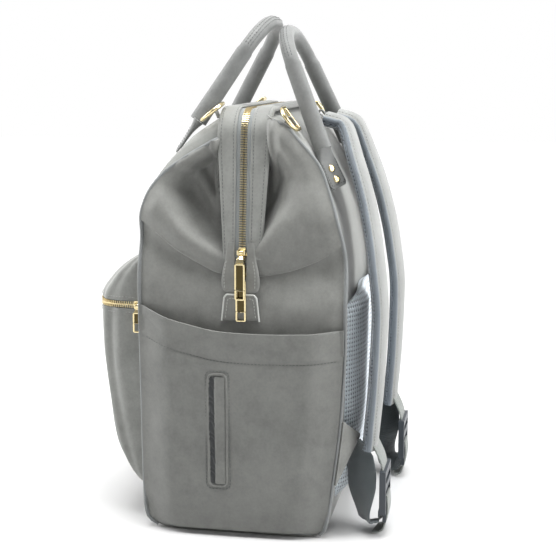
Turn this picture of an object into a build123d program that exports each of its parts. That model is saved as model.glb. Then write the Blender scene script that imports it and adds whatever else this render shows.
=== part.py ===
"""Wide-mouth diaper backpack: a grey leatherette body on a wire-framed mouth, with an air-mesh back.

Frame: millimetres, +Z up, the bag standing on its base. The origin is the middle of the base's
underside. -Y is the bag's front, +Y the side that lies against the wearer's back, and +X is the
side with the wipes pocket. Sewn pieces that touch are kept FIT apart.
"""

import math
import os

from build123d import *

# ---- driving dimensions ------------------------------------------------------------------------
WALL = 3.0  # leatherette, foam and backing together
FIT = 0.3
HALF_WIDTH = 125.0  # outer face of the side panels
SIDE_TOP = 255.0  # upper edge of the flat side panels
FRONT_SPLIT = 292.0  # seam between the fixed and the flexing part of the front
YOKE_SPLIT = 240.0  # seam between the lower back panel and the yoke
LINING = 1.2
PIPING = 2.0

MOUTH_TOP = 408.0
MOUTH_CORNER = 30.0  # corner radius of the wire-framed mouth
HINGE_Z = 262.0  # the two mouth frames fold about this height
LEG_X = 124.0  # outer face of the mouth band at the pivot height
LEG_SLOPE = 0.089  # how far the mouth's legs lean inwards, per mm of height
BAND_EDGE = 24.2  # half the depth of the closed mouth band
ZIP_SLOT = 5.5  # half the gap between the two bands
BAND_FOOT = 290.0
BAND_THICK = 3.0
TAPE_INSET = 3.6
TAPE_THICK = 1.0
TEETH = (1.2, 3.4)  # one row of teeth, from the zip's middle
TEETH_INSET = 2.5
TEETH_THICK = 3.0

WIRE_R = 2.0
FRONT_WIRE_INSET = 11.0
REAR_WIRE_INSET = 16.0
WIRE_LEAN = 14.0  # each frame wire's distance from the zip at the top
PIN_R = 2.0
PIN_CLEARANCE = 0.05
PIN_PRESS = 0.02

HANDLE_R = 7.25
HANDLE_HALF = 80.0  # half the spread of a handle's ends
HANDLE_SHOULDER = 44.0
FRONT_HANDLE = ((-52.0, 394.0), (0.522, 0.853), 109.0)  # pivot (y, z), direction, rise
REAR_HANDLE = ((69.0, 368.0), (-0.391, 0.920), 119.5)

RING_WIRE = 1.9
RING_LONG = 24.0  # straight bar, between wire centres
RING_DEEP = 17.0
RING_X = 93.0
RING_DROOP = 5.0  # degrees below level, where a ring rests over the shoulder of the bag
FRONT_RING = ((-33.8, 403.6), (0.79, 0.613))  # bar's middle (y, z) and direction
REAR_RING = ((41.5, 397.6), (0.6, -0.8))

POCKET_TOP = 206.0
POCKET_OUT = 141.0  # outer face of the side pockets
POCKET_WALL = 2.5
SLOT = ((-28.0, -14.0), (54.0, 158.0))  # wipes slot, y and z
TRIM_RIM = 3.5

FRONT_POCKET_HALF = 100.0
FRONT_POCKET_DEPTH = 151.0
POCKET_PIN = 3.5  # pocket pull's pin, from the pocket's side
POUCH_TOP = 212.0
LID_FOOT = 221.0
LID_HINGE = (-101.5, 264.0)  # y, z

STRAP_PIVOT = (54.0, 393.0)
STRAP_THICK = 13.0
STRAP_LINE = [(66, 396), (82, 391), (98, 355), (112, 310), (121, 262), (126, 212), (124, 150), (120, 106)]
STRAP_SHAPE = [(14, 410), (60, 410), (61, 381), (86, 350), (110, 250), (115, 100), (65, 100), (44, 250)]
WEB_THICK = 1.8
WEB_HALF = 18.0
WEB_X = 90.0
LOCK_Y = 133.0

UPPER_SLIDER_Z = 275.0
LOWER_SLIDER_Z = 256.0
ZIP_END_Z = 245.0  # lower end of the slot for the zip chain
SLIDER_PLAY = 0.5
SLIDER_STANDOFF = (4.9, 4.6)  # pull pins above the plates, upper and lower slider
PULL_WIDE = 10.0
PULL_THICK = 1.4
BAIL_PIN_R = 0.8

# Side view of the body as (y, z, corner radius), anticlockwise from the front edge of the mouth.
SIDE_OUTLINE = [
    (-25, 401, 0),
    (-60, 376, 30),
    (-83, 352, 40),
    (-98, 298, 60),
    (-99, 150, 0),
    (-98, 0, 26),
    (80, 0, 18),
    (95, 130, 0),
    (97, 242, 60),
    (87, 305, 60),
    (70, 350, 40),
    (44, 384, 30),
    (25, 401, 0),
]


# ---- helpers -----------------------------------------------------------------------------------
def box(x, y, z):
    """A box from three (low, high) pairs."""
    size = [high - low for low, high in (x, y, z)]
    centre = [(low + high) / 2 for low, high in (x, y, z)]
    return Pos(*centre) * Box(*size)


def rounded(points):
    """A closed face through (u, v, radius) corners on the XY plane."""
    corners = []
    for i, (u, v, r) in enumerate(points):
        p = Vector(u, v)
        back = (Vector(*points[i - 1][:2]) - p).normalized()
        ahead = (Vector(*points[(i + 1) % len(points)][:2]) - p).normalized()
        half = math.radians(back.get_angle(ahead)) / 2
        cut = r / math.tan(half)
        middle = p + (back + ahead).normalized() * (r / math.sin(half) - r)
        corners.append((p + back * cut, middle, p + ahead * cut, r))
    edges = []
    for i, (start, middle, end, r) in enumerate(corners):
        if r:
            edges.append(ThreePointArc(start, middle, end))
        edges.append(Line(end, corners[(i + 1) % len(corners)][0]))
    return make_face(Wire(edges))


def along_x(face, low, high):
    """Extrude a face drawn as (y, z) along X."""
    return extrude(Pos(low, 0, 0) * (Plane.YZ * face), amount=high - low, dir=(1, 0, 0))


def along_y(face, low, high):
    """Extrude a face drawn as (x, z) along Y."""
    return extrude(Pos(0, high, 0) * (Plane.XZ * face), amount=high - low, dir=(0, -1, 0))


def along_z(face, low, high):
    return extrude(Pos(0, 0, low) * face, amount=high - low, dir=(0, 0, 1))


def body(grow, low, high):
    """The body's side view, grown or shrunk, extruded along X."""
    face = rounded(SIDE_OUTLINE)
    if grow:
        face = offset(face, amount=grow)
    return along_x(face, low, high)


def front_view(extra=0.0):
    """The body seen from the front: parallel below the mouth's pivot, leaning in above it."""
    half = HALF_WIDTH - WALL - FIT / 3 + extra
    top = LEG_X - LEG_SLOPE * (MOUTH_TOP - HINGE_Z) - 2.0 + extra
    points = [(-half, -5, 0), (half, -5, 0), (half, HINGE_Z - 4, 200), (top, 406, 26)]
    points += [(-top, 406, 26), (-half, HINGE_Z - 4, 200)]
    return along_y(rounded(points), -200, 200)


def leg_x(z):
    """Outer face of the mouth band's leg at a height."""
    return LEG_X - LEG_SLOPE * (z - HINGE_Z)


def mouth_face(inset, foot):
    top = MOUTH_TOP - inset
    low, high = leg_x(foot) - inset, leg_x(top) - inset
    corner = MOUTH_CORNER - inset
    return rounded([(-low, foot, 0), (low, foot, 0), (high, top, corner), (-high, top, corner)])


def arch(inset, thick, y, foot):
    """An inverted U along the mouth: inset from the band's outer face, between two depths y."""
    outer = along_y(mouth_face(inset, foot), *y)
    return outer - along_y(mouth_face(inset + thick, foot - 5), y[0] - 1, y[1] + 1)


def ribbon(points, radius, thick, x):
    """A strip of even thickness along (y, z) points, as wide as the pair x."""
    line = FilletPolyline(*points, radius=radius)
    return along_x(make_face(offset(line, amount=thick / 2, side=Side.BOTH, kind=Kind.ARC)), *x)


def mirrored(shape):
    return mirror(shape, about=Plane.YZ)


def pair(shape):
    """The same piece on both sides of the bag, as one group of separate solids."""
    return Compound([*shape.solids(), *mirrored(shape).solids()])


def axle(x, y, z, r):
    """A cylinder along X between the pair x."""
    return Pos((x[0] + x[1]) / 2, y, z) * Rot(0, 90, 0) * Cylinder(r, x[1] - x[0])


def cross_pin(x, y, z, r):
    """A cylinder along Y between the pair y."""
    return Pos(x, (y[0] + y[1]) / 2, z) * Rot(90, 0, 0) * Cylinder(r, y[1] - y[0])


SHELL = (body(0, -HALF_WIDTH, HALF_WIDTH) - body(-WALL, -HALF_WIDTH - 1, HALF_WIDTH + 1)) & front_view()


def wrap(y, z):
    """The part of the wrap-around wall inside a window of the side view."""
    return SHELL & box((-200, 200), y, z)


# ---- body --------------------------------------------------------------------------------------
def base_panel():
    return wrap((-70, 60), (-1, 10))


def base_board():
    """Stiffener between the base panel and the lining."""
    return box((-114, 114), (-68, 58), (WALL + FIT, WALL + FIT + 2))


def front_panel():
    return wrap((-110, -70 - FIT), (-1, FRONT_SPLIT))


def front_top_panel():
    return wrap((-110, -BAND_EDGE - 0.8), (FRONT_SPLIT + FIT, 405))


def back_panel():
    return wrap((60 + FIT, 120), (-1, YOKE_SPLIT))


def back_yoke():
    return wrap((BAND_EDGE + 0.8, 120), (YOKE_SPLIT + FIT, 405))


def back_mesh_pad():
    """Padded air mesh on the lower back, thickest in the middle."""
    radius, half_chord, chord_y = 370.0, 114.0, 95.0
    centre_y = chord_y - math.sqrt(radius**2 - half_chord**2)
    lens = Pos(0, centre_y, 150) * Cylinder(radius, 400)
    outline = rounded([(-110, 34, 16), (110, 34, 16), (110, 232, 60), (-110, 232, 60)])
    return (body(25, -115, 115) - body(FIT, -116, 116)) & lens & along_y(outline, 50, 140)


def side_panel():
    notch = box((100, 140), (-ZIP_SLOT, ZIP_SLOT), (ZIP_END_Z, SIDE_TOP + 1))
    plate = body(0, HALF_WIDTH - WALL, HALF_WIDTH) & box((0, 200), (-110, 110), (-1, SIDE_TOP))
    return plate - notch


def gussets(y):
    """The tucked upper sides, from the flat side panels up to the mouth's corners."""
    line = [(124, SIDE_TOP + 2.2), (96, 322), (96, 350), (104, 398)]
    face = make_face(offset(FilletPolyline(*line, radius=18), amount=WALL / 2, side=Side.BOTH))
    sheet = along_y(face, *y)
    return pair(sheet & body(-WALL - FIT, 60, 200))


def piping(y, z):
    """Covered cord along the seam between the wrap-around wall and the sides."""
    ring = body(FIT + PIPING, -140, 140) - body(FIT, -141, 141)
    return ring & (front_view(3.0) - front_view(-2.0)) & box((-150, 150), y, z)


def side_piping():
    runs = [piping((BAND_EDGE + 0.8, 120), (6, 402)), piping((-120, 0), (6, FRONT_SPLIT))]
    foot = box((HALF_WIDTH + FIT, HALF_WIDTH + 2), (-70, 60), (0.5, 3.5))
    solids = [solid for run in runs for solid in run.solids()]
    return Compound([*solids, *pair(foot).solids()])


def zip_end_panel():
    """Patch over the lower end of the zip, slotted for the chain."""
    low, high = LOWER_SLIDER_Z - 20, SIDE_TOP + 6
    half = [(19, low, 6), (22, high - 10, 6), (17, high, 3)]
    outline = rounded(half + [(-y, z, r) for y, z, r in reversed(half)])
    patch = along_x(outline, HALF_WIDTH + FIT, HALF_WIDTH + 1.5)
    return pair(patch - box((120, 130), (-ZIP_SLOT, ZIP_SLOT), (ZIP_END_Z, 300)))


def zip_end_tab():
    """Folded tab with painted edges below the patch."""
    outline = rounded([(-18, 209, 1), (18, 209, 1), (15, 235.5, 4), (-15, 235.5, 4)])
    return pair(along_x(outline, HALF_WIDTH + FIT, HALF_WIDTH + 2.0))


def main_lining():
    outer = body(-WALL - FIT, -121.4, 121.4) & box((-130, 130), (-110, 110), (5.6, 246))
    inner = body(-WALL - FIT - LINING, -121.4 + LINING, 121.4 - LINING)
    return outer - (inner & box((-130, 130), (-110, 110), (5.6 + LINING, 300)))


def inner_bottle_pockets():
    """Three elastic bottle pockets on the lining's front."""
    tube = along_z(Rectangle(62, 22) - Rectangle(59, 19), 30, 150) + box((-31, 31), (-11, 11), (30, 31.5))
    return Compound([Pos(x, -82, 0) * tube for x in (-66, 0, 66)])


# ---- mouth -------------------------------------------------------------------------------------
def mouth_band(side):
    y = sorted((side * ZIP_SLOT, side * BAND_EDGE))
    return arch(0, BAND_THICK, y, BAND_FOOT)


def zip_tape(side):
    y = sorted((side * (TEETH[1] + 0.2), side * 16.0))
    return arch(TAPE_INSET, TAPE_THICK, y, HINGE_Z + 8)


def zip_teeth(side):
    y = sorted((side * TEETH[0], side * TEETH[1]))
    foot = HINGE_Z if side < 0 else LOWER_SLIDER_Z - 5
    return arch(TEETH_INSET, TEETH_THICK, y, foot)


def rear_zip_teeth():
    """The rear row, with the stops that close the zip's two lower ends."""
    return Compound([*zip_teeth(1).solids(), *zip_end_stops().solids()])


def zip_end_stops():
    x = leg_x(LOWER_SLIDER_Z - 9) - TEETH_INSET
    return pair(box((x - 3.4, x), (-TEETH[1], TEETH[1]), (LOWER_SLIDER_Z - 10, LOWER_SLIDER_Z - 8)))


def frame_wire(side, inset):
    """Spring-wire frame in its plane, leaning from the hinge to its place at the top."""
    rise = MOUTH_TOP - inset - HINGE_Z
    lean = math.degrees(math.atan2(WIRE_LEAN, rise))
    length = math.hypot(rise, WIRE_LEAN)
    low, high = leg_x(HINGE_Z) - inset, leg_x(MOUTH_TOP) - inset
    points = [(low, 4), (high, length), (-high, length), (-low, 4)]
    path = Plane.XZ * FilletPolyline(*points, radius=MOUTH_CORNER - inset)
    wire = sweep(Plane(path @ 0, z_dir=path % 0) * Circle(WIRE_R), path=path)
    wire = Pos(0, 0, HINGE_Z) * Rot(-side * lean, 0, 0) * wire
    hole = PIN_R - PIN_PRESS if side > 0 else PIN_R + PIN_CLEARANCE
    eye = axle((low - WIRE_R, low + WIRE_R), 0, HINGE_Z, 5.0)
    wire += Compound([*pair(eye).solids()])
    return wire - pair(axle((low - 5, low + 5), 0, HINGE_Z, hole))


def frame_hinge_rivets():
    outer = leg_x(HINGE_Z) - FRONT_WIRE_INSET + WIRE_R + FIT
    inner = leg_x(HINGE_Z) - REAR_WIRE_INSET - WIRE_R - FIT
    rivet = axle((inner, outer), 0, HINGE_Z, PIN_R) + axle((outer, outer + 1.2), 0, HINGE_Z, 4)
    return pair(rivet + axle((inner - 1.2, inner), 0, HINGE_Z, 4))


# ---- sliders and pulls -------------------------------------------------------------------------
def slider(z, standoff):
    """Zip slider: two plates, a post between the rows, and cheeks that hold the pull's pin."""
    x = leg_x(z) - 0.9
    inner = x - 1.2 - (TEETH_THICK + 2 * SLIDER_PLAY)
    post = box((inner - 0.5, x - 1), (-0.85, 0.85), (z - 2.2, z + 2.2))
    plate = along_x(rounded([(-4.6, -4.2, 1), (4.6, -4.2, 1), (3.2, 4.2, 1), (-3.2, 4.2, 1)]), x - 1.2, x)
    plates = Pos(0, 0, z) * plate + Pos(inner - x, 0, z) * plate
    cheek = box((x - 0.2, x + standoff + 1.2), (2.7, 3.9), (z - 2, z + 2))
    pin = cross_pin(x + standoff, (-3, 3), z, BAIL_PIN_R)
    return plates + post + cheek + mirror(cheek, about=Plane.XZ) + pin


def pull(x, z, crank, tip):
    """Flat pull hanging from an eye: the neck steps outwards by crank, the end has a window."""
    eye = cross_pin(x, (-2.3, 2.3), z, BAIL_PIN_R + 1.1)
    line = Polyline((x, z - 1), (x + crank, z - 5.5 - crank / 2))
    neck = make_face(offset(line, amount=PULL_THICK / 2, side=Side.BOTH))
    neck = extrude(Pos(0, 2.3, 0) * (Plane.XZ * neck), amount=4.6, dir=(0, -1, 0))
    top = z - 5 - crank / 2
    plate = along_x(RectangleRounded(PULL_WIDE, top - tip, 1.5), -PULL_THICK / 2, PULL_THICK / 2)
    window = box((-2, 2), (-2.6, 2.6), (-(top - tip) / 2 + 2.2, -(top - tip) / 2 + 9))
    plate = Pos(x + crank, 0, (top + tip) / 2) * (plate - window)
    return eye + neck + plate - cross_pin(x, (-6, 6), z, BAIL_PIN_R + PIN_CLEARANCE)


def slider_pin_x(z, standoff):
    return leg_x(z) - 0.9 + standoff


# ---- handles and rings -------------------------------------------------------------------------
def handle(place):
    (y, z), (dy, dz), rise = place
    points = [(HANDLE_HALF, 0), (HANDLE_SHOULDER, rise), (-HANDLE_SHOULDER, rise), (-HANDLE_HALF, 0)]
    path = FilletPolyline(*points, radius=48)
    bar = sweep(Plane(path @ 0, z_dir=path % 0) * Circle(HANDLE_R), path=path)
    for end in (path @ 0, path @ 1):
        bar += Pos(*end) * Sphere(HANDLE_R)
    return Plane(origin=(0, y, z), x_dir=(1, 0, 0), z_dir=(0, -dz, dy)) * bar


def handle_tab(z):
    """Sewn end tabs of a handle, flat on the body."""
    y = (-120, 0) if z[1] > 376 else (0, 120)
    return (body(FIT + 1.8, 0, 130) - body(FIT, -1, 131)) & box((71, 89), y, z)


def rear_rivet(z, radius, low, high):
    """A cylinder square to the rear shoulder, at a height, between two distances from the wall."""
    corners = [(87, 305), (70, 350)]
    (y0, z0), (y1, z1) = corners
    length = math.hypot(y1 - y0, z1 - z0)
    normal = Vector(0, (z1 - z0) / length, (y0 - y1) / length)
    point = Vector(80, y0 + (y1 - y0) * (z - z0) / (z1 - z0), z)
    plane = Plane(origin=point + normal * low, z_dir=normal)
    return extrude(plane * Circle(radius), amount=high - low)


def rear_handle_tabs():
    tab = handle_tab((322, 362))
    for z in (330, 344):
        tab -= rear_rivet(z, 1.5 + PIN_CLEARANCE, -1, 5)
    return pair(tab)


def rear_handle_rivets():
    rivets = []
    for z in (330, 344):
        rivets.append(rear_rivet(z, 1.5, FIT, 3) + rear_rivet(z, 4.0, FIT + 2.1, FIT + 3.6))
    return Compound([solid for rivet in rivets for solid in pair(rivet).solids()])


def ring_frame(place):
    """Local axes of a ring: x along its straight bar, y towards the bag's middle, z upwards."""
    (y, z), (dy, dz) = place
    return Plane(origin=(RING_X, y, z), x_dir=(0, dy, dz), z_dir=(0, -dz, dy))


def d_ring(place):
    """A D-shaped wire ring resting outwards over the shoulder of the bag."""
    half = RING_LONG / 2
    bow = FilletPolyline((-half, 0), (-half, -RING_DEEP), (half, -RING_DEEP), (half, 0), radius=half - 1)
    ring = sweep(Plane(bow @ 0, z_dir=bow % 0) * Circle(RING_WIRE), path=bow)
    ring += Rot(0, 90, 0) * Cylinder(RING_WIRE, RING_LONG)
    for x in (-half, half):
        ring += Pos(x, 0, 0) * Sphere(RING_WIRE)
    return ring_frame(place) * (Rot(RING_DROOP, 0, 0) * ring)


def ring_loop(place):
    """Leather loop round a ring's straight bar, sewn down to the body."""
    loop = Circle(RING_WIRE + 1.6) + Pos(3, -6) * Rectangle(6 + RING_WIRE, 12)
    loop = along_x(loop - Circle(RING_WIRE + FIT), -5, 5)
    return pair(ring_frame(place) * loop - body(FIT, 0, 130))


# ---- pockets -----------------------------------------------------------------------------------
def side_pocket():
    """Open-topped patch pocket on a side panel."""
    low_y, high_y = -90, 82
    back = HALF_WIDTH + FIT
    plan = rounded([(back, low_y, 0), (POCKET_OUT, low_y + 4, 14), (POCKET_OUT, high_y - 4, 14), (back, high_y, 0)])
    inset = offset(plan, amount=-POCKET_WALL)
    floor = 8 + POCKET_WALL
    hollow = along_z(inset, floor, 300) + along_z(Pos(-POCKET_WALL, 0, 0) * inset, floor, 300)
    return along_z(plan, 8, POCKET_TOP) - hollow


def side_pocket_right():
    return side_pocket() - box((138, 145), *SLOT)


def wipes_slot_trim():
    (y0, y1), (z0, z1) = SLOT
    centre = Pos((y0 + y1) / 2, (z0 + z1) / 2)
    wide, tall = y1 - y0, z1 - z0
    rim = RectangleRounded(wide + 2 * TRIM_RIM, tall + 2 * TRIM_RIM, 5)
    face = centre * (rim - RectangleRounded(wide, tall, 3))
    return along_x(face, POCKET_OUT + FIT, POCKET_OUT + 1.4)


def wipes_flap():
    (y0, y1), (z0, z1) = SLOT
    face = Pos((y0 + 3 + y1) / 2, (z0 + z1) / 2) * RectangleRounded(y1 - y0 - 3, z1 - z0 - 2, 3)
    return along_x(face, POCKET_OUT + 1.8, POCKET_OUT + 3.0)


def front_pocket(grow, z):
    """The front pocket's outer shape, grown or shrunk, between two heights."""
    deep = -FRONT_POCKET_DEPTH
    side = [(-99.7, 36, 0), (-99.7, 264, 0), (-112, 264, 10)]
    side += [(deep, 246, 26), (deep, 176, 60), (-138, 84, 40), (-108, 36, 12)]
    face = offset(rounded(side), amount=grow) if grow else rounded(side)
    half = FRONT_POCKET_HALF + grow
    plan = rounded([(-half, 0, 0), (-half, deep - grow, 34), (half, deep - grow, 34), (half, 0, 0)])
    return along_x(face, -150, 150) & along_z(plan, *z) & box((-150, 150), (-200, -99 - FIT), (0, 300))


def front_pocket_pouch():
    inner = front_pocket(-POCKET_WALL, (0, 300))
    inner += Pos(0, POCKET_WALL, 0) * inner
    return front_pocket(0, (36, POUCH_TOP)) - inner


def pocket_lid():
    inner = front_pocket(-POCKET_WALL, (0, 300))
    inner += Pos(0, POCKET_WALL, 0) * inner
    lid = front_pocket(0, (LID_FOOT, 264)) - inner
    return lid - box((-150, 150), (LID_HINGE[0] - 1.0, -90), (0, LID_HINGE[1] + 10))


def pocket_zip(z):
    """One side of the front pocket's zip: a strip round the pocket's edge."""
    strip = front_pocket(-0.4, z) - front_pocket(-2.0, (0, 300)) - Pos(0, 4, 0) * front_pocket(-2.0, (0, 300))
    return strip - box((-150, 150), (LID_HINGE[0] - 1.0, -90), (0, 300))


def pocket_slider():
    x, y, z = FRONT_POCKET_HALF, -108.0, (POUCH_TOP + LID_FOOT) / 2
    outer = box((x, x + 1.2), (y - 4.5, y + 4.5), (z - 4, z + 4))
    inner = box((x - 3.6, x - 2.4), (y - 4.5, y + 4.5), (z - 4, z + 4))
    post = box((x - 3, x + 0.5), (y - 2, y + 2), (z - 0.6, z + 0.6))
    cheek = box((x + 1, x + 4.8), (y + 2.7, y + 3.9), (z - 2, z + 2))
    pin = cross_pin(x + POCKET_PIN, (y - 3, y + 3), z, BAIL_PIN_R)
    return outer + inner + post + cheek + Pos(0, -6.6, 0) * cheek + pin


# ---- straps ------------------------------------------------------------------------------------
def strap_pad():
    sheet = ribbon(STRAP_LINE, 30, STRAP_THICK, (0, 130))
    neck = box((20, 54), (STRAP_PIVOT[0] + 2, 70), (390, 400))
    pad = sheet & along_y(rounded([(x, z, 4) for x, z in STRAP_SHAPE]), 50, 150)
    return pad + neck


def strap_webbing():
    """Webbing from the pad's end to the ladder lock, with a small keeper loop."""
    line = [(119, 99), (121, 90), (LOCK_Y - 4.4, 68), (LOCK_Y - 4.4, 56), (LOCK_Y - 1, 56)]
    return ribbon(line, 1.5, WEB_THICK, (WEB_X - WEB_HALF, WEB_X + WEB_HALF))


def ladder_lock():
    """Plastic buckle with three slots' worth of bars, the lowest one a thumb lever."""
    frame = box((WEB_X - 23, WEB_X + 23), (LOCK_Y - 3, LOCK_Y + 3), (24, 66))
    slots = [(53, 59), (39, 46)]
    for z in slots:
        frame -= box((WEB_X - 19, WEB_X + 19), (LOCK_Y - 4, LOCK_Y + 4), z)
    lever = box((WEB_X - 15, WEB_X + 15), (LOCK_Y - 0.5, LOCK_Y + 3), (14, 24.5))
    return frame + lever


def lower_webbing():
    """Adjuster webbing from the corner patch, down in a slack loop and up into the ladder lock."""
    line = [(114, 90), (119, 72), (113, 36), (104, 4), (110, 2.5), (LOCK_Y - 4.4, 34)]
    line += [(LOCK_Y - 4.4, 42.5), (LOCK_Y + 1, 42.5)]
    return ribbon(line, 1.5, WEB_THICK, (WEB_X - WEB_HALF, WEB_X + WEB_HALF))


def corner_patches():
    plane = Plane(origin=(118.5, 99, 85), x_dir=(-0.79, 0.61, 0), z_dir=(-0.61, -0.79, 0))
    triangle = rounded([(0, -30, 0), (0, 30, 0), (20, 6, 3), (20, -4, 3)])
    return pair(extrude(plane * triangle, amount=1, both=True))


# ---- assembly ----------------------------------------------------------------------------------
def nodes():
    upper_pin = slider_pin_x(UPPER_SLIDER_Z, SLIDER_STANDOFF[0])
    lower_pin = slider_pin_x(LOWER_SLIDER_Z, SLIDER_STANDOFF[1])
    pocket_pin = FRONT_POCKET_HALF + POCKET_PIN
    pocket_z = (POUCH_TOP + LID_FOOT) / 2
    front_rise = (-110, -BAND_EDGE - 0.8)
    rear_rise = (BAND_EDGE + 0.8, 110)
    yield "base_panel", base_panel()
    yield "base_board", base_board()
    yield "front_panel", front_panel()
    yield "back_panel", back_panel()
    yield "back_yoke", back_yoke()
    yield "back_mesh_pad", back_mesh_pad()
    yield "side_panel_right", side_panel()
    yield "side_panel_left", mirrored(side_panel())
    yield "side_piping", side_piping()
    yield "rear_gussets", gussets(rear_rise)
    yield "zip_end_panels", zip_end_panel()
    yield "zip_end_tabs", zip_end_tab()
    yield "main_lining", main_lining()
    yield "inner_bottle_pockets", inner_bottle_pockets()
    yield "rear_mouth_band", mouth_band(1)
    yield "rear_frame_wire", frame_wire(1, REAR_WIRE_INSET)
    yield "rear_zip_tape", zip_tape(1)
    yield "rear_zip_teeth", rear_zip_teeth()
    yield "frame_hinge_rivets", frame_hinge_rivets()
    yield "front_mouth_band", mouth_band(-1)
    yield "front_frame_wire", frame_wire(-1, FRONT_WIRE_INSET)
    yield "front_zip_tape", zip_tape(-1)
    yield "front_zip_teeth", zip_teeth(-1)
    yield "front_top_panel", front_top_panel()
    yield "front_gussets", gussets(front_rise)
    yield "front_top_piping", piping((-120, -BAND_EDGE - 0.8), (FRONT_SPLIT + FIT, 402))
    yield "front_handle_tabs", pair(handle_tab((360, 386)))
    yield "front_ring_loops", ring_loop(FRONT_RING)
    yield "rear_handle_tabs", rear_handle_tabs()
    yield "rear_handle_rivets", rear_handle_rivets()
    yield "rear_ring_loops", ring_loop(REAR_RING)
    yield "front_handle", handle(FRONT_HANDLE)
    yield "rear_handle", handle(REAR_HANDLE)
    for name, place in (("front", FRONT_RING), ("rear", REAR_RING)):
        yield f"{name}_ring_right", d_ring(place)
        yield f"{name}_ring_left", mirrored(d_ring(place))
    yield "zip_slider_upper", slider(UPPER_SLIDER_Z, SLIDER_STANDOFF[0])
    yield "zip_slider_lower", slider(LOWER_SLIDER_Z, SLIDER_STANDOFF[1])
    yield "zip_pull_upper", pull(upper_pin, UPPER_SLIDER_Z, 6.6, 231)
    yield "zip_pull_lower", pull(lower_pin, LOWER_SLIDER_Z, 0, 210)
    yield "side_pocket_right", side_pocket_right()
    yield "side_pocket_left", mirrored(side_pocket())
    yield "wipes_slot_trim", wipes_slot_trim()
    yield "wipes_flap", wipes_flap()
    yield "front_pocket_pouch", front_pocket_pouch()
    yield "pocket_lid", pocket_lid()
    yield "pocket_zip_lower", pocket_zip((POUCH_TOP + FIT, pocket_z - 0.9))
    yield "pocket_zip_upper", pocket_zip((pocket_z + 0.9, LID_FOOT - FIT))
    yield "pocket_slider", pocket_slider()
    yield "pocket_pull", Pos(0, -108, 0) * pull(pocket_pin, pocket_z, 0, 190)
    yield "corner_patches", corner_patches()
    for name, flip in (("right", lambda s: s), ("left", mirrored)):
        yield f"strap_{name}", flip(strap_pad())
        yield f"strap_webbing_{name}", flip(strap_webbing())
        yield f"ladder_lock_{name}", flip(ladder_lock())
        yield f"lower_webbing_{name}", flip(lower_webbing())


os.makedirs("parts", exist_ok=True)
for node, shape in nodes():
    export_step(shape, f"parts/{node}.step")
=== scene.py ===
"""Looks of the diaper backpack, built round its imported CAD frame."""
import math

import bmesh
import bpy
import numpy as np
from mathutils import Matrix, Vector, noise


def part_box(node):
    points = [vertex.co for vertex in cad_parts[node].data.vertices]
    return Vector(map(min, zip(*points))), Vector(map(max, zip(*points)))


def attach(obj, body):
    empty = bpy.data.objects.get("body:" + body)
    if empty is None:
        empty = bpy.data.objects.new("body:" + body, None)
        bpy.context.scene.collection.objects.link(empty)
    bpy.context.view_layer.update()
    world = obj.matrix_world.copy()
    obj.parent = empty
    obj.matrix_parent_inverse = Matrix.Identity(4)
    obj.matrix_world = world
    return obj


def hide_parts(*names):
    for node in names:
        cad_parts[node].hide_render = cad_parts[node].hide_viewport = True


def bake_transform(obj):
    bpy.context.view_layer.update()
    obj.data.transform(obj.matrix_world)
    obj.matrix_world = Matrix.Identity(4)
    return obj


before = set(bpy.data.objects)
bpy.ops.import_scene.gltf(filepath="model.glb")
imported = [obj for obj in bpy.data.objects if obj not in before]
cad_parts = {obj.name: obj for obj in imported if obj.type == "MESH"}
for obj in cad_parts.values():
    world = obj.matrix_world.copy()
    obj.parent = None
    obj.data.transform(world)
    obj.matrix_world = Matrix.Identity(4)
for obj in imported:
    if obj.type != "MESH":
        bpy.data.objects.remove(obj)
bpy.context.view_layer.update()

MM = 0.001
BAG, FRONT = "bag", "front_mouth"
HINGE_Z = 262.0  # the wire frame's hinge line runs along X at this height, at y 0
BEND = (BAG, FRONT, (0, 0, 0.268), (0, 0, 0.335))  # the bag, the mouth and two heights given for the gussets; piece() leaves such a piece unparented where it stands
SKIN_BEND = (BAG, FRONT, (0, 0, 0.272), (0, 0, 0.350))


# ---- small tools --------------------------------------------------------------------------------
def smooth(low, high, value):
    t = np.clip((value - low) / (high - low), 0, 1)
    return t * t * (3 - 2 * t)


def spline(*pairs):
    """Smooth function through (position, value) pairs, flat outside them."""
    xs = np.array([p[0] for p in pairs], float)
    ys = np.array([p[1] for p in pairs], float)
    steps = np.diff(ys) / np.diff(xs)
    slopes = np.zeros(len(xs))
    for i in range(1, len(xs) - 1):
        if steps[i - 1] * steps[i] > 0:
            slopes[i] = 2 / (1 / steps[i - 1] + 1 / steps[i])
    slopes[0], slopes[-1] = steps[0], steps[-1]

    def value(at):
        at = np.clip(np.asarray(at, float), xs[0], xs[-1])
        i = np.clip(np.searchsorted(xs, at, side="right") - 1, 0, len(xs) - 2)
        h = xs[i + 1] - xs[i]
        t = (at - xs[i]) / h
        a = ys[i] * (1 + 2 * t) * (1 - t) ** 2 + slopes[i] * h * t * (1 - t) ** 2
        b = ys[i + 1] * (3 - 2 * t) * t**2 + slopes[i + 1] * h * (t - 1) * t**2
        return a + b

    return value


def near(y, z, line, width):
    """1 on a line of (y, z, strength) points, falling away over its width."""
    best = np.zeros(np.broadcast(y, z).shape)
    for (ya, za, sa), (yb, zb, sb) in zip(line, line[1:]):
        span = (yb - ya) ** 2 + (zb - za) ** 2
        t = np.clip(((y - ya) * (yb - ya) + (z - za) * (zb - za)) / span, 0, 1)
        gap = np.hypot(y - ya - t * (yb - ya), z - za - t * (zb - za))
        best = np.maximum(best, np.exp(-((gap / width) ** 2)) * (sa + t * (sb - sa)))
    return best


def ripple(y, z, size, seed):
    """Slow uneven waves of about -1 to 1, the same at every run."""
    y, z = np.broadcast_arrays(y, z)
    flat = [noise.noise(Vector((a / size, b / size, seed))) for a, b in zip(y.ravel(), z.ravel())]
    return np.array(flat).reshape(y.shape) * 1.6


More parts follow.
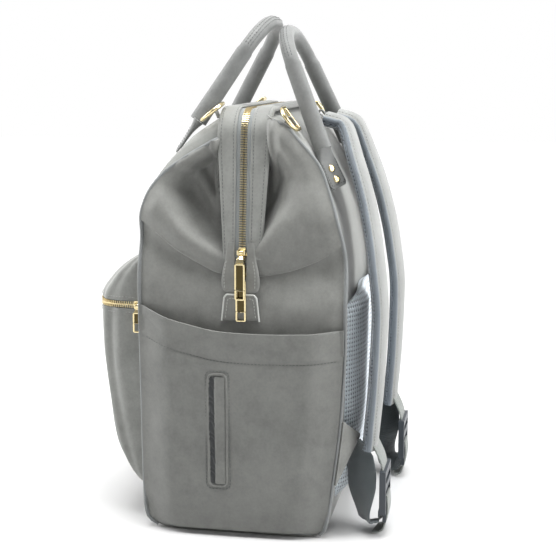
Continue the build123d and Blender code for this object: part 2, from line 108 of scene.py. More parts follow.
def unit(v):
    v = np.asarray(v, float)
    return v / np.maximum(np.linalg.norm(v, axis=-1, keepdims=True), 1e-9)


def walk(path):
    """Distance along a path to each of its points."""
    return np.concatenate([[0], np.cumsum(np.linalg.norm(np.diff(path, axis=0), axis=1))])


def value_at(at, lengths, values):
    """The point or direction at one distance along a path."""
    return np.array([np.interp(at, lengths, values[:, c]) for c in range(3)])


def resample(path, step):
    """Points at even spacing along a path."""
    path = np.asarray(path, float)
    lengths = walk(path)
    count = max(int(round(lengths[-1] / step)), 2)
    at = np.linspace(0, lengths[-1], count + 1)
    return np.stack([np.interp(at, lengths, path[:, k]) for k in range(3)], axis=1)


def rounded_path(points, radius, step=3.0):
    """A polyline with its inner corners rounded to one radius."""
    points = [np.array(p, float) for p in points]
    made = [points[0]]
    for before, corner, after in zip(points, points[1:], points[2:]):
        a, b = unit(before - corner), unit(after - corner)
        half = math.acos(float(np.clip(a @ b, -1, 1))) / 2
        reach = radius / math.tan(half)
        centre = corner + unit(a + b) * radius / math.sin(half)
        start, end = corner + a * reach - centre, corner + b * reach - centre
        turn = math.pi - 2 * half
        steps = max(int(radius * turn / step), 3)
        for k in range(steps + 1):
            t = k / steps
            swung = start * math.sin((1 - t) * turn) + end * math.sin(t * turn)
            made.append(centre + swung / math.sin(turn))
    made.append(points[-1])
    return np.array(made)


class Form:
    """Points and faces in millimetres, gathered before they become one piece."""

    def __init__(self, *parts):
        self.points, self.faces, self.kinds = [], [], []
        for part in parts:
            self.add(part)

    def add(self, made, kind=0):
        points, faces = made[0], made[1]
        start = len(self.points)
        self.points += [tuple(float(c) for c in p) for p in points]
        self.faces += [tuple(i + start for i in face) for face in faces]
        self.kinds += [kind] * len(faces)
        return self

    def mirrored(self):
        """Adds the same form on the bag's other side."""
        count = len(self.points)
        self.points += [(-x, y, z) for x, y, z in self.points]
        self.faces += [tuple(i + count for i in reversed(face)) for face in self.faces]
        self.kinds += self.kinds
        return self

    def flipped(self):
        """The same form, moved to the bag's other side."""
        self.points = [(-x, y, z) for x, y, z in self.points]
        self.faces = [tuple(reversed(face)) for face in self.faces]
        return self


def grid(rows, closed=False):
    rows = np.asarray(rows, float)
    m, n = rows.shape[:2]
    faces = []
    for i in range(m - 1):
        for j in range(n if closed else n - 1):
            a, b = i * n + j, i * n + (j + 1) % n
            faces.append((a, b, b + n, a + n))
    return rows.reshape(-1, 3), faces


def capped(rows):
    """Closed rings of points joined into a tube with both ends shut."""
    points, faces = grid(rows, closed=True)
    n, total = len(rows[0]), len(points)
    return points, faces + [tuple(reversed(range(n))), tuple(range(total - n, total))]


def shell(rows, thick):
    """A sheet with thickness: the rows are one face, the other lies thick behind it."""
    rows = np.asarray(rows, float)
    m, n = rows.shape[:2]
    normal = unit(np.cross(np.gradient(rows, axis=1), np.gradient(rows, axis=0)))
    points, faces = grid(rows)
    back, _ = grid(rows - normal * thick)
    count = m * n
    faces = faces + [tuple(i + count for i in reversed(face)) for face in faces]
    rim = [i * n for i in range(m)] + [(m - 1) * n + j for j in range(1, n)]
    rim += [i * n + n - 1 for i in range(m - 2, -1, -1)] + list(range(n - 2, 0, -1))
    for a, b in zip(rim, rim[1:] + rim[:1]):
        faces.append((a, b, b + count, a + count))
    return np.concatenate([points, back]), faces


def ring(radius, count=10, flat=1.0):
    turns = [2 * math.pi * k / count for k in range(count)]
    return [(radius * math.cos(t), radius * flat * math.sin(t)) for t in turns]


def slab(wide, thick, radius, count=4):
    """Section of a flat strip with rounded corners, centred."""
    made = []
    for quarter, (sx, sy) in enumerate([(1, 1), (-1, 1), (-1, -1), (1, -1)]):
        for k in range(count):
            t = math.pi / 2 * (quarter + k / (count - 1))
            across = sx * (wide / 2 - radius) + radius * math.cos(t)
            made.append((across, sy * (thick / 2 - radius) + radius * math.sin(t)))
    return made


def frames(path, side):
    """Side and outward directions at each point of a path; side is the wanted side direction."""
    path = np.asarray(path, float)
    along = unit(np.gradient(path, axis=0))
    side = np.broadcast_to(np.asarray(side, float), path.shape)
    out = unit(np.cross(side, along))
    return np.cross(along, out), out


def sweep(path, section, side, closed=False, cap=True):
    """Carries a section of (side, outward) offsets along a path; it may be a function of 0 to 1."""
    path = np.asarray(path, float)
    if closed:
        wide = np.concatenate([path[-2:-1], path, path[1:2]])
        s, o = frames(wide, side)
        s, o = s[1:-1], o[1:-1]
    else:
        s, o = frames(path, side)
    rows = []
    for i, p in enumerate(path):
        cut = section(i / (len(path) - 1)) if callable(section) else section
        rows.append([p + s[i] * a + o[i] * b for a, b in cut])
    return capped(rows) if cap and not closed else grid(rows, closed=True)


STITCH_TURNS = [2 * math.pi * k / 6 for k in range(6)]
STITCH_PROFILE = ((0, 0.5, -0.3), (0.22, 1, 0.2), (0.78, 1, 0.2), (1, 0.5, -0.3))  # along, thickness, rise


def stitches(path, out, pitch=3.3, size=0.42):
    """Thread stitches along a path, each a small bar that dips into the surface at its ends."""
    path = np.asarray(path, float)
    out = np.broadcast_to(np.asarray(out, float), path.shape)
    lengths = walk(path)
    made = Form()
    for k in range(int(lengths[-1] / pitch)):
        start, end = (k + 0.14) * pitch, (k + 0.86) * pitch
        a, b = value_at(start, lengths, path), value_at(end, lengths, path)
        up = unit(value_at(start, lengths, out))
        across = np.cross(unit(b - a), up)
        rows = []
        for t, grow, rise in STITCH_PROFILE:
            centre = a + (b - a) * t + up * size * rise
            turns = [(across * math.cos(q) + up * math.sin(q)) * size * grow for q in STITCH_TURNS]
            rows.append([centre + turn for turn in turns])
        made.add(capped(rows))
    return made.points, made.faces


def piece(name, form, materials, body, stands_for=(), sharp=50):
    """Makes one Blender piece from a form and hangs it on its body; given two bodies, it leaves the piece
    unparented where it stands.
    """
    mesh = bpy.data.meshes.new(name)
    mesh.from_pydata([[c * MM for c in p] for p in form.points], [], form.faces)
    for material in materials if isinstance(materials, list) else [materials]:
        mesh.materials.append(material)
    mesh.polygons.foreach_set("material_index", form.kinds)
    work = bmesh.new()
    work.from_mesh(mesh)
    bmesh.ops.remove_doubles(work, verts=work.verts, dist=1e-6)
    bmesh.ops.dissolve_degenerate(work, edges=work.edges, dist=1e-7)
    bmesh.ops.recalc_face_normals(work, faces=work.faces)
    work.to_mesh(mesh)
    work.free()
    mesh.polygons.foreach_set("use_smooth", [True] * len(mesh.polygons))
    mesh.set_sharp_from_angle(angle=math.radians(sharp))
    obj = bpy.data.objects.new(name, mesh)
    bpy.context.collection.objects.link(obj)
    if isinstance(body, tuple):
        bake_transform(obj)
    else:
        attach(obj, body)
    if stands_for:
        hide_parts(*stands_for)
    return obj


# ---- materials ----------------------------------------------------------------------------------
class Nodes:
    """A material's node tree with short ways to add to it."""

    def __init__(self, name):
        self.material = bpy.data.materials.new(name)
        self.material.use_nodes = True
        self.tree = self.material.node_tree
        self.shader = self.tree.nodes["Principled BSDF"]
        self.place = self.tree.nodes.new("ShaderNodeTexCoord").outputs["Object"]

    def put(self, socket, value):
        """Links an output to a socket, or gives the socket a plain value."""
        if isinstance(value, bpy.types.NodeSocket):
            self.tree.links.new(value, socket)
        else:
            socket.default_value = (*value, 1) if isinstance(value, tuple) and len(value) == 3 else value

    def add(self, kind, **inputs):
        node = self.tree.nodes.new(kind)
        for key, value in inputs.items():
            self.put(node.inputs[key.replace("_", " ")], value)
        return node

    def set(self, **inputs):
        """Sets or links the shader's own inputs."""
        for key, value in inputs.items():
            self.put(self.shader.inputs[key.replace("_", " ")], value)

    def noise(self, scale, detail=4.0, rough=0.55):
        node = self.add("ShaderNodeTexNoise", Vector=self.place, Scale=scale, Detail=detail, Roughness=rough)
        return node.outputs["Fac"]

    def cells(self, scale):
        return self.add("ShaderNodeTexVoronoi", Vector=self.place, Scale=scale).outputs["Distance"]

    def ramp(self, fac, *stops):
        node = self.add("ShaderNodeValToRGB", Fac=fac)
        band = node.color_ramp
        while len(band.elements) < len(stops):
            band.elements.new(0.5)
        for element, (at, colour) in zip(band.elements, stops):
            element.position = at
            element.color = (*colour, 1)
        return node.outputs["Color"]

    def math(self, kind, a, b=0.0):
        node = self.tree.nodes.new("ShaderNodeMath")
        node.operation = kind
        self.put(node.inputs[0], a)
        self.put(node.inputs[1], b)
        return node.outputs[0]

    def mix(self, fac, a, b, kind="MIX"):
        node = self.tree.nodes.new("ShaderNodeMix")
        node.data_type = "RGBA"
        node.blend_type = kind
        for index, value in ((0, fac), (6, a), (7, b)):  # the factor and the two colour sockets
            self.put(node.inputs[index], value)
        return node.outputs[2]

    def bump(self, height, strength, distance, normal=None):
        node = self.add("ShaderNodeBump", Height=height, Strength=strength, Distance=distance)
        if normal:
            self.tree.links.new(normal, node.inputs["Normal"])
        return node.outputs["Normal"]


def leather(name, tone, rough=0.62, grain=1.0, mottle=1.0):
    """Soft coated leather: brushed mottling, fine pebble grain, a little sheen."""
    n = Nodes(name)
    broad = n.noise(16, 5, 0.6)
    brushed = n.noise(75, 6, 0.62)
    fine = n.noise(420, 4, 0.6)
    dark = tuple(c * (1 - 0.20 * mottle) for c in tone)
    pale = tuple(min(c * (1 + 0.17 * mottle), 1) for c in tone)
    colour = n.ramp(n.mix(0.55, broad, brushed), (0.34, dark), (0.5, tone), (0.68, pale))
    specks = n.ramp(fine, (0.3, (0.86, 0.86, 0.86)), (0.62, (1, 1, 1)))
    colour = n.mix(0.7, colour, n.mix(1.0, colour, specks, "MULTIPLY"))
    pebbles = n.cells(1500)
    soft = n.bump(n.noise(110, 4, 0.55), 0.22 * grain, 0.0012)
    normal = n.bump(pebbles, 0.30 * grain, 0.00022, soft)
    gloss = n.ramp(brushed, (0.3, (rough - 0.09,) * 3), (0.7, (min(rough + 0.10, 1),) * 3))
    n.set(Base_Color=colour, Roughness=gloss, Normal=normal, Sheen_Weight=0.25, Sheen_Roughness=0.45)
    n.set(Specular_IOR_Level=0.36)
    return n.material


def weave(name, tone, pitch, rough=0.8, depth=0.0004, sheen=0.3):
    """Woven cloth or webbing: two sets of threads over and under."""
    n = Nodes(name)
    split = n.add("ShaderNodeSeparateXYZ", Vector=n.place)
    turn = 2 * math.pi / (pitch * MM)
    across = n.math("SINE", n.math("MULTIPLY", n.math("ADD", split.outputs["X"], split.outputs["Y"]), turn))
    along = n.math("SINE", n.math("MULTIPLY", split.outputs["Z"], turn * 0.8))
    over = n.math("MULTIPLY", across, along)
    height = n.math("ADD", n.math("MULTIPLY", over, 0.5), 0.5)
    worn = n.noise(60, 4, 0.6)
    dark = tuple(c * 0.72 for c in tone)
    pale = tuple(min(c * 1.18, 1) for c in tone)
    colour = n.ramp(n.mix(0.6, worn, height), (0.25, dark), (0.55, tone), (0.8, pale))
    n.set(Base_Color=colour, Roughness=rough, Normal=n.bump(height, 0.6, depth), Sheen_Weight=sheen)
    n.set(Specular_IOR_Level=0.25)
    return n.material


def air_mesh(name, tone, hole, pitch=4.2):
    """Spacer mesh: staggered rows of dark holes in a padded knit."""
    n = Nodes(name)
    split = n.add("ShaderNodeSeparateXYZ", Vector=n.place)
    turn = 2 * math.pi / (pitch * MM)
    level = n.math("SUBTRACT", n.math("ABSOLUTE", split.outputs["X"]), split.outputs["Y"])
    level = n.math("MULTIPLY", level, 0.42)  # the holes lie wider apart across the knit than along it
    rise = n.math("MULTIPLY", split.outputs["Z"], 0.5)
    a = n.math("SINE", n.math("MULTIPLY", n.math("ADD", level, rise), turn))
    b = n.math("SINE", n.math("MULTIPLY", n.math("SUBTRACT", level, rise), turn))
    height = n.math("ADD", n.math("MULTIPLY", n.math("MULTIPLY", a, b), 0.5), 0.5)
    knit = n.noise(900, 3, 0.6)
    pale = tuple(min(c * 1.12, 1) for c in tone)
    colour = n.ramp(height, (0.12, hole), (0.30, tone), (0.9, pale))
    shade = n.ramp(knit, (0.3, (0.6, 0.6, 0.6)), (0.7, (1, 1, 1)))
    colour = n.mix(0.35, colour, n.mix(1.0, colour, shade, "MULTIPLY"))
    fine = n.bump(knit, 0.4, 0.0003)
    n.set(Base_Color=colour, Roughness=0.85, Normal=n.bump(height, 0.9, 0.0011, fine), Sheen_Weight=0.35)
    n.set(Specular_IOR_Level=0.2)
    return n.material


def metal(name, tone, rough, wear=0.08):
    """Plated metal with faint smudges and hairline scratches."""
    n = Nodes(name)
    smudge = n.noise(240, 4, 0.6)
    scratch = n.noise(2400, 3, 0.7)
    dark = tuple(c * 0.86 for c in tone)
    colour = n.ramp(smudge, (0.3, dark), (0.6, tone))
    gloss = n.ramp(smudge, (0.3, (rough,) * 3), (0.75, (rough + wear,) * 3))
    n.set(Base_Color=colour, Metallic=1.0, Roughness=gloss, Normal=n.bump(scratch, 0.06, 0.0001))
    return n.material


def plain(name, tone, rough, size=300.0, depth=0.0002, spec=0.4, sheen=0.0):
    """Moulded, dyed or painted material with fine surface texture and slight colour variation."""
    n = Nodes(name)
    vary = 0.12
    worn = n.noise(size * 0.2, 4, 0.6)
    tooth = n.noise(size * 4, 3, 0.6)
    dark = tuple(c * (1 - vary) for c in tone)
    pale = tuple(min(c * (1 + vary), 1) for c in tone)
    n.set(Base_Color=n.ramp(worn, (0.3, dark), (0.7, pale)), Normal=n.bump(tooth, 0.35, depth))
    n.set(Roughness=n.ramp(worn, (0.3, (rough - 0.06,) * 3), (0.7, (rough + 0.06,) * 3)))
    n.set(Specular_IOR_Level=spec, Sheen_Weight=sheen)
    return n.material


LEATHER = leather("leather_side", (0.172, 0.175, 0.164))
LEATHER_TOP = leather("leather_top", (0.195, 0.200, 0.188))
LEATHER_POCKET = leather("leather_pocket", (0.142, 0.145, 0.136))
HANDLE_LEATHER = leather("leather_handle", (0.158, 0.163, 0.159), 0.5)
PIPING = leather("leather_piping", (0.165, 0.174, 0.174), 0.55, 0.6, 0.5)
STRAP_LEATHER = leather("leather_strap", (0.215, 0.222, 0.214))
EDGE_PAINT = plain("painted_edge", (0.42, 0.43, 0.41), 0.5)
BINDING = weave("binding_tape", (0.150, 0.172, 0.192), 1.1)
MESH_FABRIC = air_mesh("air_mesh", (0.58, 0.635, 0.68), (0.16, 0.18, 0.20))
STRAP_MESH = air_mesh("strap_mesh", (0.15, 0.175, 0.20), (0.04, 0.05, 0.06), 3.6)
TAPE = weave("zip_tape", (0.22, 0.235, 0.235), 0.9, 0.85, 0.0002)
THREAD = plain("thread", (0.27, 0.275, 0.26), 0.7, 900, 0.0001, 0.3, 0.2)
THREAD_DARK = plain("thread_dark", (0.075, 0.08, 0.078), 0.7, 900, 0.0001, 0.3, 0.2)
WEBBING = weave("webbing_grey", (0.20, 0.215, 0.202), 1.6, 0.75, 0.0005)
# darkened copy of the grey webbing: painted shade for the lower webbing, which hangs in shade at the foot of
# the straps
WEBBING_SHADED = weave("webbing_painted_shade", (0.075, 0.088, 0.092), 1.6, 0.7, 0.0005)
# near-black copy of the woven cloth: painted shade for the dark inside of the wipes slot
SLIT_SHADE = weave("slit_painted_shade", (0.030, 0.032, 0.033), 0.8, 0.7, 0.0002, 0.4)
GOLD = metal("gold_plate", (0.80, 0.68, 0.40), 0.16)
GOLD_TEETH = metal("gold_teeth", (0.74, 0.62, 0.37), 0.26)
STEEL = metal("spring_steel", (0.45, 0.46, 0.47), 0.35)
GOLD_MIRROR = metal("gold_mirror", (0.075, 0.058, 0.025), 0.08, 0.03)
PLASTIC = plain("moulded_plastic", (0.028, 0.035, 0.043), 0.42, 700, 0.0001, 0.5)
LINING = weave("lining_cloth", (0.30, 0.31, 0.33), 0.8, 0.7, 0.0002, 0.4)
BOARD = plain("pressed_board", (0.20, 0.16, 0.12), 0.8, 500, 0.0004, 0.2)

# ---- camera, floor and light --------------------------------------------------------------------
TURN = math.radians(11.5)  # the camera stands this far towards the back of the bag's right side
PITCH = math.radians(9.56)
DISTANCE, EYE_HEIGHT, LENS = 1.300, 0.450, 82.9
SIDEWAYS = 0.007655  # tangent of a slight pan, so the bag stands a little left of the middle

towards = Vector((-math.cos(TURN), -math.sin(TURN), 0))
rightward = Vector((-math.sin(TURN), math.cos(TURN), 0))
camera_data = bpy.data.cameras.new("camera")
camera_data.lens = LENS
camera_data.sensor_width = 36.0
camera_data.clip_start = 0.05
camera = bpy.data.objects.new("camera", camera_data)
bpy.context.collection.objects.link(camera)
camera.location = Vector((0, 0, EYE_HEIGHT)) - towards * DISTANCE
look = (towards + rightward * SIDEWAYS).normalized() * math.cos(PITCH) - Vector((0, 0, math.sin(PITCH)))
camera.rotation_euler = look.to_track_quat("-Z", "Y").to_euler()
bpy.context.scene.camera = camera



def pale_floor():
    """Matt floor with a faint glow that grows away from the bag, so it stays pale to the horizon."""
    n = Nodes("pale_floor")
    away = n.add("ShaderNodeVectorMath", Vector=n.place)
    away.operation = "LENGTH"
    grow = n.add("ShaderNodeMapRange", Value=away.outputs["Value"], From_Min=0.7, From_Max=3.2, To_Max=0.62)
    tone = n.ramp(n.noise(1, 4, 0.6), (0.3, (0.60, 0.60, 0.60)), (0.7, (0.61, 0.61, 0.61)))
    n.set(Base_Color=tone, Roughness=0.9, Specular_IOR_Level=0.0)
    n.set(Emission_Color=(1, 1, 1), Emission_Strength=grow.outputs["Result"])
    return n.material


FLOOR = 6.0  # half the floor's side
floor_corners = [(sx * FLOOR, sy * FLOOR, 0) for sx, sy in ((-1, -1), (1, -1), (1, 1), (-1, 1))]
floor_mesh = bpy.data.meshes.new("floor")
floor_mesh.from_pydata(floor_corners, [], [(0, 1, 2, 3)])
floor = bpy.data.objects.new("floor", floor_mesh)
bpy.context.collection.objects.link(floor)
floor.data.materials.append(pale_floor())

# the sky is white behind the bag and darker on the side where the camera stands
world = bpy.data.worlds.new("studio")
world.use_nodes = True
sky = world.node_tree
background = sky.nodes["Background"]
background.inputs["Color"].default_value = (1, 1, 1, 1)
direction = sky.nodes.new("ShaderNodeSeparateXYZ")
sky.links.new(sky.nodes.new("ShaderNodeTexCoord").outputs["Generated"], direction.inputs[0])
shade = sky.nodes.new("ShaderNodeMapRange")
shade.interpolation_type = "SMOOTHSTEP"
for key, value in (("From Min", 0.0), ("From Max", 0.6), ("To Min", 1.0), ("To Max", 0.32)):
    shade.inputs[key].default_value = value
sky.links.new(direction.outputs["X"], shade.inputs["Value"])
sky.links.new(shade.outputs["Result"], background.inputs["Strength"])
bpy.context.scene.world = world
bpy.context.scene.view_settings.view_transform = "Standard"


def area_light(name, place, size, power):
    """A soft box aimed at the middle of the bag."""
    data = bpy.data.lights.new(name, "AREA")
    data.shape = "RECTANGLE"
    data.size, data.size_y = size
    data.energy = power
    light = bpy.data.objects.new(name, data)
    light.location = place
    light.rotation_euler = (Vector((0, 0, 0.22)) - Vector(place)).to_track_quat("-Z", "Y").to_euler()
    bpy.context.collection.objects.link(light)


area_light("front_softbox", (0.25, -1.7, 1.0), (1.0, 1.6), 26)
area_light("back_softbox", (0.25, 1.8, 1.0), (1.0, 1.6), 36)
area_light("top_softbox", (0.25, 0.0, 2.1), (1.2, 1.2), 62)

# ---- the body's outlines ------------------------------------------------------------------------
# y of the front and rear seams at each height, seen from the side
front_edge = spline((0, -76), (4, -88), (12, -95.5), (26, -98), (150, -99.5), (250, -100.5), (302, -100),
                    (323, -94), (345, -79), (362, -55), (372, -38), (381, -21))
rear_edge = spline((0, 64), (3, 74), (10, 79.5), (60, 87), (130, 94.5), (200, 97.5), (245, 97.5), (275, 95),
                   (305, 88), (330, 80.5), (354, 71), (366, 62), (378, 51), (388, 42), (394, 34), (397, 26))
# y of the middle of the front and of the back, where the panels crown
front_crown = spline((0, -78), (5, -92), (20, -100), (150, -102), (250, -102), (300, -98.5), (330, -90.5),
                     (352, -80), (366, -69), (380, -55), (392, -38), (400, -25), (403.5, -18))
rear_crown = spline((0, 64), (3, 76), (10, 82), (60, 89), (130, 96), (242, 97), (290, 91), (320, 82.5),
                    (350, 69), (368, 60), (384, 48), (394, 36), (400, 27), (403.5, 18))


def half_width(z):
    """Half the bag's width at a height."""
    low = 124.6 - 4.0 * smooth(225, 300, z)
    turned = np.clip(z - 380, 0, 25)
    shoulder = 26.0  # radius of the turn into the top
    return low - np.maximum(0, z - 258) * 0.062 - (shoulder - np.sqrt(shoulder**2 - turned**2))


# crease under each gusset's roll, as height against y
crease_front = spline((-101, 303), (-97, 301), (-82, 291), (-66, 279), (-45, 268), (-21, 258), (0, 256))
crease_rear = spline((0, 256), (11, 256), (38, 260), (64, 267), (84, 276), (97, 284))
# outer edge of the hollow beside each band, as y against height
hollow_front = spline((262, -14), (275, -35), (288, -54), (300, -66), (314, -76), (332, -85), (346, -80),
                      (356, -66), (366, -49), (378, -28))
hollow_rear = spline((262, 6), (270, 10), (290, 27), (310, 42), (325, 49), (341, 50), (355, 43), (366, 35),
                     (380, 27), (396, 23))


def side_x(y, z):
    """How far out the side's cloth stands at a point (y, z)."""
    x = half_width(z)
    edge = np.minimum(y - front_edge(z), rear_edge(z) - y)
    x = x - 3.2 * (1 - smooth(-1, 15, edge)) - 2.5 * (1 - smooth(0, 14, z))
    x = x - 25 * smooth(0, 27, (y - hollow_front(z)) * 0.8) * smooth(258, 284, z) * (y < 0)
    x = x - 22 * smooth(-1, 20, (hollow_rear(z) - y) * 0.8) * smooth(260, 284, z) * (y >= 0)
    # rolls above the creases, and the pull of the cloth below them
    x = x + 8.0 * near(y, z, ((-14, 264, 0.4), (-58, 291, 1), (-80, 314, 0.8), (-92, 328, 0.3)), 15)
    x = x + 8.0 * near(y, z, ((12, 270, 0.4), (45, 303, 1), (66, 316, 0.8), (84, 306, 0.4)), 18)
    x = x - 8.0 * near(y, z, ((-16, 250, 0.7), (-60, 265, 1.0), (-98, 284, 0.7)), 15)
    x = x - 10.0 * near(y, z, ((10, 249, 0.6), (48, 253, 0.8), (78, 259, 1.1), (95, 266, 0.6)), 17)
    x = x + 2.5 * near(y, z, ((40, 222, 0.6), (92, 226, 0.8)), 12)
    # folds in the hollows
    x = x + 6.0 * near(y, z, ((-26, 374, 0.3), (-47, 362, 1), (-62, 351, 0.7), (-72, 340, 0.2)), 4.6)
    x = x + 6.5 * near(y, z, ((-58, 356, 0.4), (-45, 342, 0.9), (-34, 322, 1.0), (-28, 300, 0.3)), 5.2)
    x = x + 9.0 * near(y, z, ((-27.5, 380, 0.9), (-27.5, 350, 1), (-26, 318, 0.7), (-25, 300, 0.0)), 3.4)
    x = x + 9.0 * near(y, z, ((27.5, 396, 0.9), (28, 372, 1), (27, 345, 0.6), (26, 320, 0.0)), 3.6)
    x = x + 4.0 * near(y, z, ((30, 300, 0.3), (36, 326, 1), (40, 348, 0.8), (34, 366, 0.3)), 4.0)
    # room for the chain and its sliders
    x = x - 9 * (1 - smooth(4.5, 7.0, abs(y))) * smooth(240.5, 243.5, z)
    # slack in the cloth
    x = x + 1.5 * ripple(y, z, 70, 3.1) * smooth(0, 40, edge)
    return x + 0.5 * ripple(y, z, 24, 7.7) * smooth(0, 20, edge)


def fold_under(rows, along, drop):
    """Adds rows at the start of a sheet that roll it inwards, so its lower edge reads as a fold."""
    first = rows[0]
    made = []
    for turn in (1.0, 0.72, 0.42, 0.16):
        angle = turn * math.pi / 2
        row = first.copy()
        row[:, 0] -= drop * (1 - math.cos(angle)) * along
        row[:, 2] -= 0.8 * drop * math.sin(angle) * along
        made.append(row)
    return np.concatenate([made, rows])


def side_panel_rows():
    u = np.linspace(0, 1, 84)[None, :]
    v = np.linspace(0, 1, 90)[:, None]
    guess = -99 + 196 * u
    top = np.where(guess < 0, crease_front(np.minimum(guess, 0)), crease_rear(np.maximum(guess, 0)))
    z = 1.0 + (top - 1.0) * v
    y = front_edge(z) + (rear_edge(z) - front_edge(z)) * u
    x = side_x(y, z) - 3.0 * (1 - smooth(0, 10, top - z)) * (1 - smooth(35, 84, abs(y)))
    return np.stack(np.broadcast_arrays(x, y, z), axis=2)


def gusset_rows(front):
    """A gusset half: from the middle of the side out to its seam, from the crease up to the top."""
    edge, crease, top = (front_edge, crease_front, 381.0) if front else (rear_edge, crease_rear, 396.5)
    u = np.linspace(0, 1, 56)[None, :]
    v = 1 - (1 - np.linspace(0, 1, 64)[:, None]) ** 1.5
    low = crease(u * (-100 if front else 96))
    z = low + (top - low) * v
    y = edge(z) * u
    x = side_x(y, z)
    rows = np.stack(np.broadcast_arrays(x, y, z), axis=2)
    return fold_under(rows, 1 - smooth(0.35, 0.85, u[0]), 5.0)


sides = Form(shell(side_panel_rows(), 2.0)).mirrored()
piece("side_shells", sides, LEATHER, BAG, ("side_panel_right", "side_panel_left"))
rear_gussets = Form(shell(gusset_rows(False), -1.8)).mirrored()
piece("rear_gusset_shells", rear_gussets, LEATHER, BAG, ("rear_gussets",))
front_gussets = Form(shell(gusset_rows(True), 1.8)).mirrored()
piece("front_gusset_shells", front_gussets, LEATHER, BEND, ("front_gussets",))


CORNER = 24.0  # radius of the turn from a side seam into the front or back


def skin_rows(edge, crown, z_edge_top, low, high, inward):
    """Front or back panel: each row runs from side seam to side seam and crowns in between."""
    rows = []
    for t in np.linspace(0, 1, 73):
        z_mid = low + (high - low) * t
        z_edge = low + (z_edge_top - low) * t
        half = float(side_x(edge(z_edge) + inward * 0.6, z_edge)) - 0.4
        y_mid, y_edge = float(crown(z_mid)), float(edge(z_edge))
        row = []
        for j in range(61):
            s = -1 + 2 * j / 60
            s = math.copysign(abs(s) ** 0.8, s)
            gap = (1 - abs(s)) * half
            rise = math.sqrt(1 - (1 - min(gap / CORNER, 1)) ** 2)
            sag = -inward * 2.2 * math.cos(s * math.pi / 2) ** 0.5 if abs(s) < 1 else 0
            y = y_edge + (y_mid - y_edge + sag) * rise
            row.append((s * half, y, z_edge + (z_mid - z_edge) * rise))
        rows.append(row)
    return np.array(rows)


front_skin = Form(shell(skin_rows(front_edge, front_crown, 381, 3, 403.5, -1), 2.2))
piece("front_skin", front_skin, LEATHER_TOP, SKIN_BEND, ("front_panel", "front_top_panel"))
back_skin = Form(shell(skin_rows(rear_edge, rear_crown, 396.5, 3, 403.5, 1), -2.2))
piece("back_skin", back_skin, LEATHER_TOP, BAG, ("back_panel", "back_yoke"))


def seam_path(edge, low, high, lift):
    """Piping line along a side seam, just outside the cloth."""
    z = np.linspace(low, high, 90)
    y = edge(z)
    x = side_x(y, z) + lift
    return np.stack([x, y, z], axis=1)


front_seam = seam_path(front_edge, 3, 381, 0.3)
rear_seam = seam_path(rear_edge, 3, 396.5, 0.3)
front_piping = Form(sweep(front_seam, ring(1.9), (1, 0, 0))).mirrored()
piece("front_seam_piping", front_piping, PIPING, SKIN_BEND, ("front_top_piping",))
rear_piping = Form(sweep(rear_seam, ring(1.9), (1, 0, 0))).mirrored()
piece("rear_seam_piping", rear_piping, PIPING, BAG, ("side_piping",))

# ---- base ---------------------------------------------------------------------------------------


def base_outline(grow, z):
    """Rounded outline of the base at a height, grown outwards."""
    made = []
    for quarter, (cx, cy) in enumerate([(104, 56), (-104, 56), (-104, -66), (104, -66)]):
        for k in range(7):
            t = math.pi / 2 * (quarter + k / 6)
            made.append((cx + (18 + grow) * math.cos(t), cy + (18 + grow) * math.sin(t), z))
    return made


levels = [base_outline(-2.0, 0.0), base_outline(0.2, 0.8), base_outline(0.8, 2.2), base_outline(-0.4, 3.4)]
piece("base", Form(capped(levels)), LEATHER, BAG, ("base_panel",))
base_cord = base_outline(0.6, 4.6)
base_cord = np.array(base_cord + base_cord[:2])
piece("base_piping", Form(sweep(base_cord, ring(1.8), (0, 0, 1), cap=False)), PIPING, BAG)

# ---- mouth: bands, tapes, teeth -----------------------------------------------------------------
BAND_LOW, BAND_TOP = 268.0, 408.0


def leg_x(z):
    """How far out the mouth's legs stand at a height."""
    return 124 - 0.089 * (z - HINGE_Z)


def arch_path(inset, low, step=3.0):
    """Line over the mouth in the plane y 0, from the right foot to the left one."""
    top = BAND_TOP - inset
    right = leg_x(top) - inset
    foot = leg_x(low) - inset
    corners = [(foot, 0, low), (right, 0, top), (-right, 0, top), (-foot, 0, low)]
    return rounded_path(corners, 30 - inset, step)


def band_section(side):
    """Across the band from the tape to its rolled outer edge: (y, outward)."""
    top = [(7.2, -1.0), (6.9, -0.2), (7.3, 0.35), (8.6, 0.55), (9.6, 0.2), (11, 0.7), (15.5, 1.0), (20, 0.75),
           (21.5, 0.15), (22.6, 0.5), (24.0, 0.2), (25.2, -0.9), (25.6, -2.4), (25.0, -4.0)]
    under = [(23.4, -4.4), (20, -3.0), (12, -2.4)]
    return [(side * y, out) for y, out in top + under]


def taper(z):
    """The bands narrow towards their feet, where they run into the tongue."""
    return 0.60 + 0.40 * smooth(262, 335, z)


def bands(side):
    path = arch_path(0, BAND_LOW)
    full = band_section(side)

    def section(t):
        narrow = float(taper(path[int(round(t * (len(path) - 1)))][2]))
        return [(side * 7 + (y - side * 7) * narrow, out) for y, out in full]

    return Form(sweep(path, section, (0, 1, 0)))


piece("front_band", bands(-1), LEATHER_TOP, FRONT, ("front_mouth_band",))
piece("rear_band", bands(1), LEATHER_TOP, BAG, ("rear_mouth_band",))


def band_stitches(side):
    form = Form()
    path = arch_path(0, BAND_LOW + 4, 2.0)
    _, out = frames(path, (0, 1, 0))
    for y, rise in ((9.7, 0.1), (21.6, 0.05)):
        line = path + out * rise
        line[:, 1] = side * (7 + (y - 7) * taper(path[:, 2]))
        form.add(stitches(line, out, 3.4, 0.36))
    return form


piece("front_band_stitches", band_stitches(-1), THREAD_DARK, FRONT)
piece("rear_band_stitches", band_stitches(1), THREAD_DARK, BAG)


def tape(side):
    flat = ((0.6, 0), (3.6, 0.1), (8.6, 0), (13, -0.4), (13, -1.2), (0.6, -0.9))
    return Form(sweep(arch_path(1.6, 264), [(side * y, out) for y, out in flat], (0, 1, 0)))


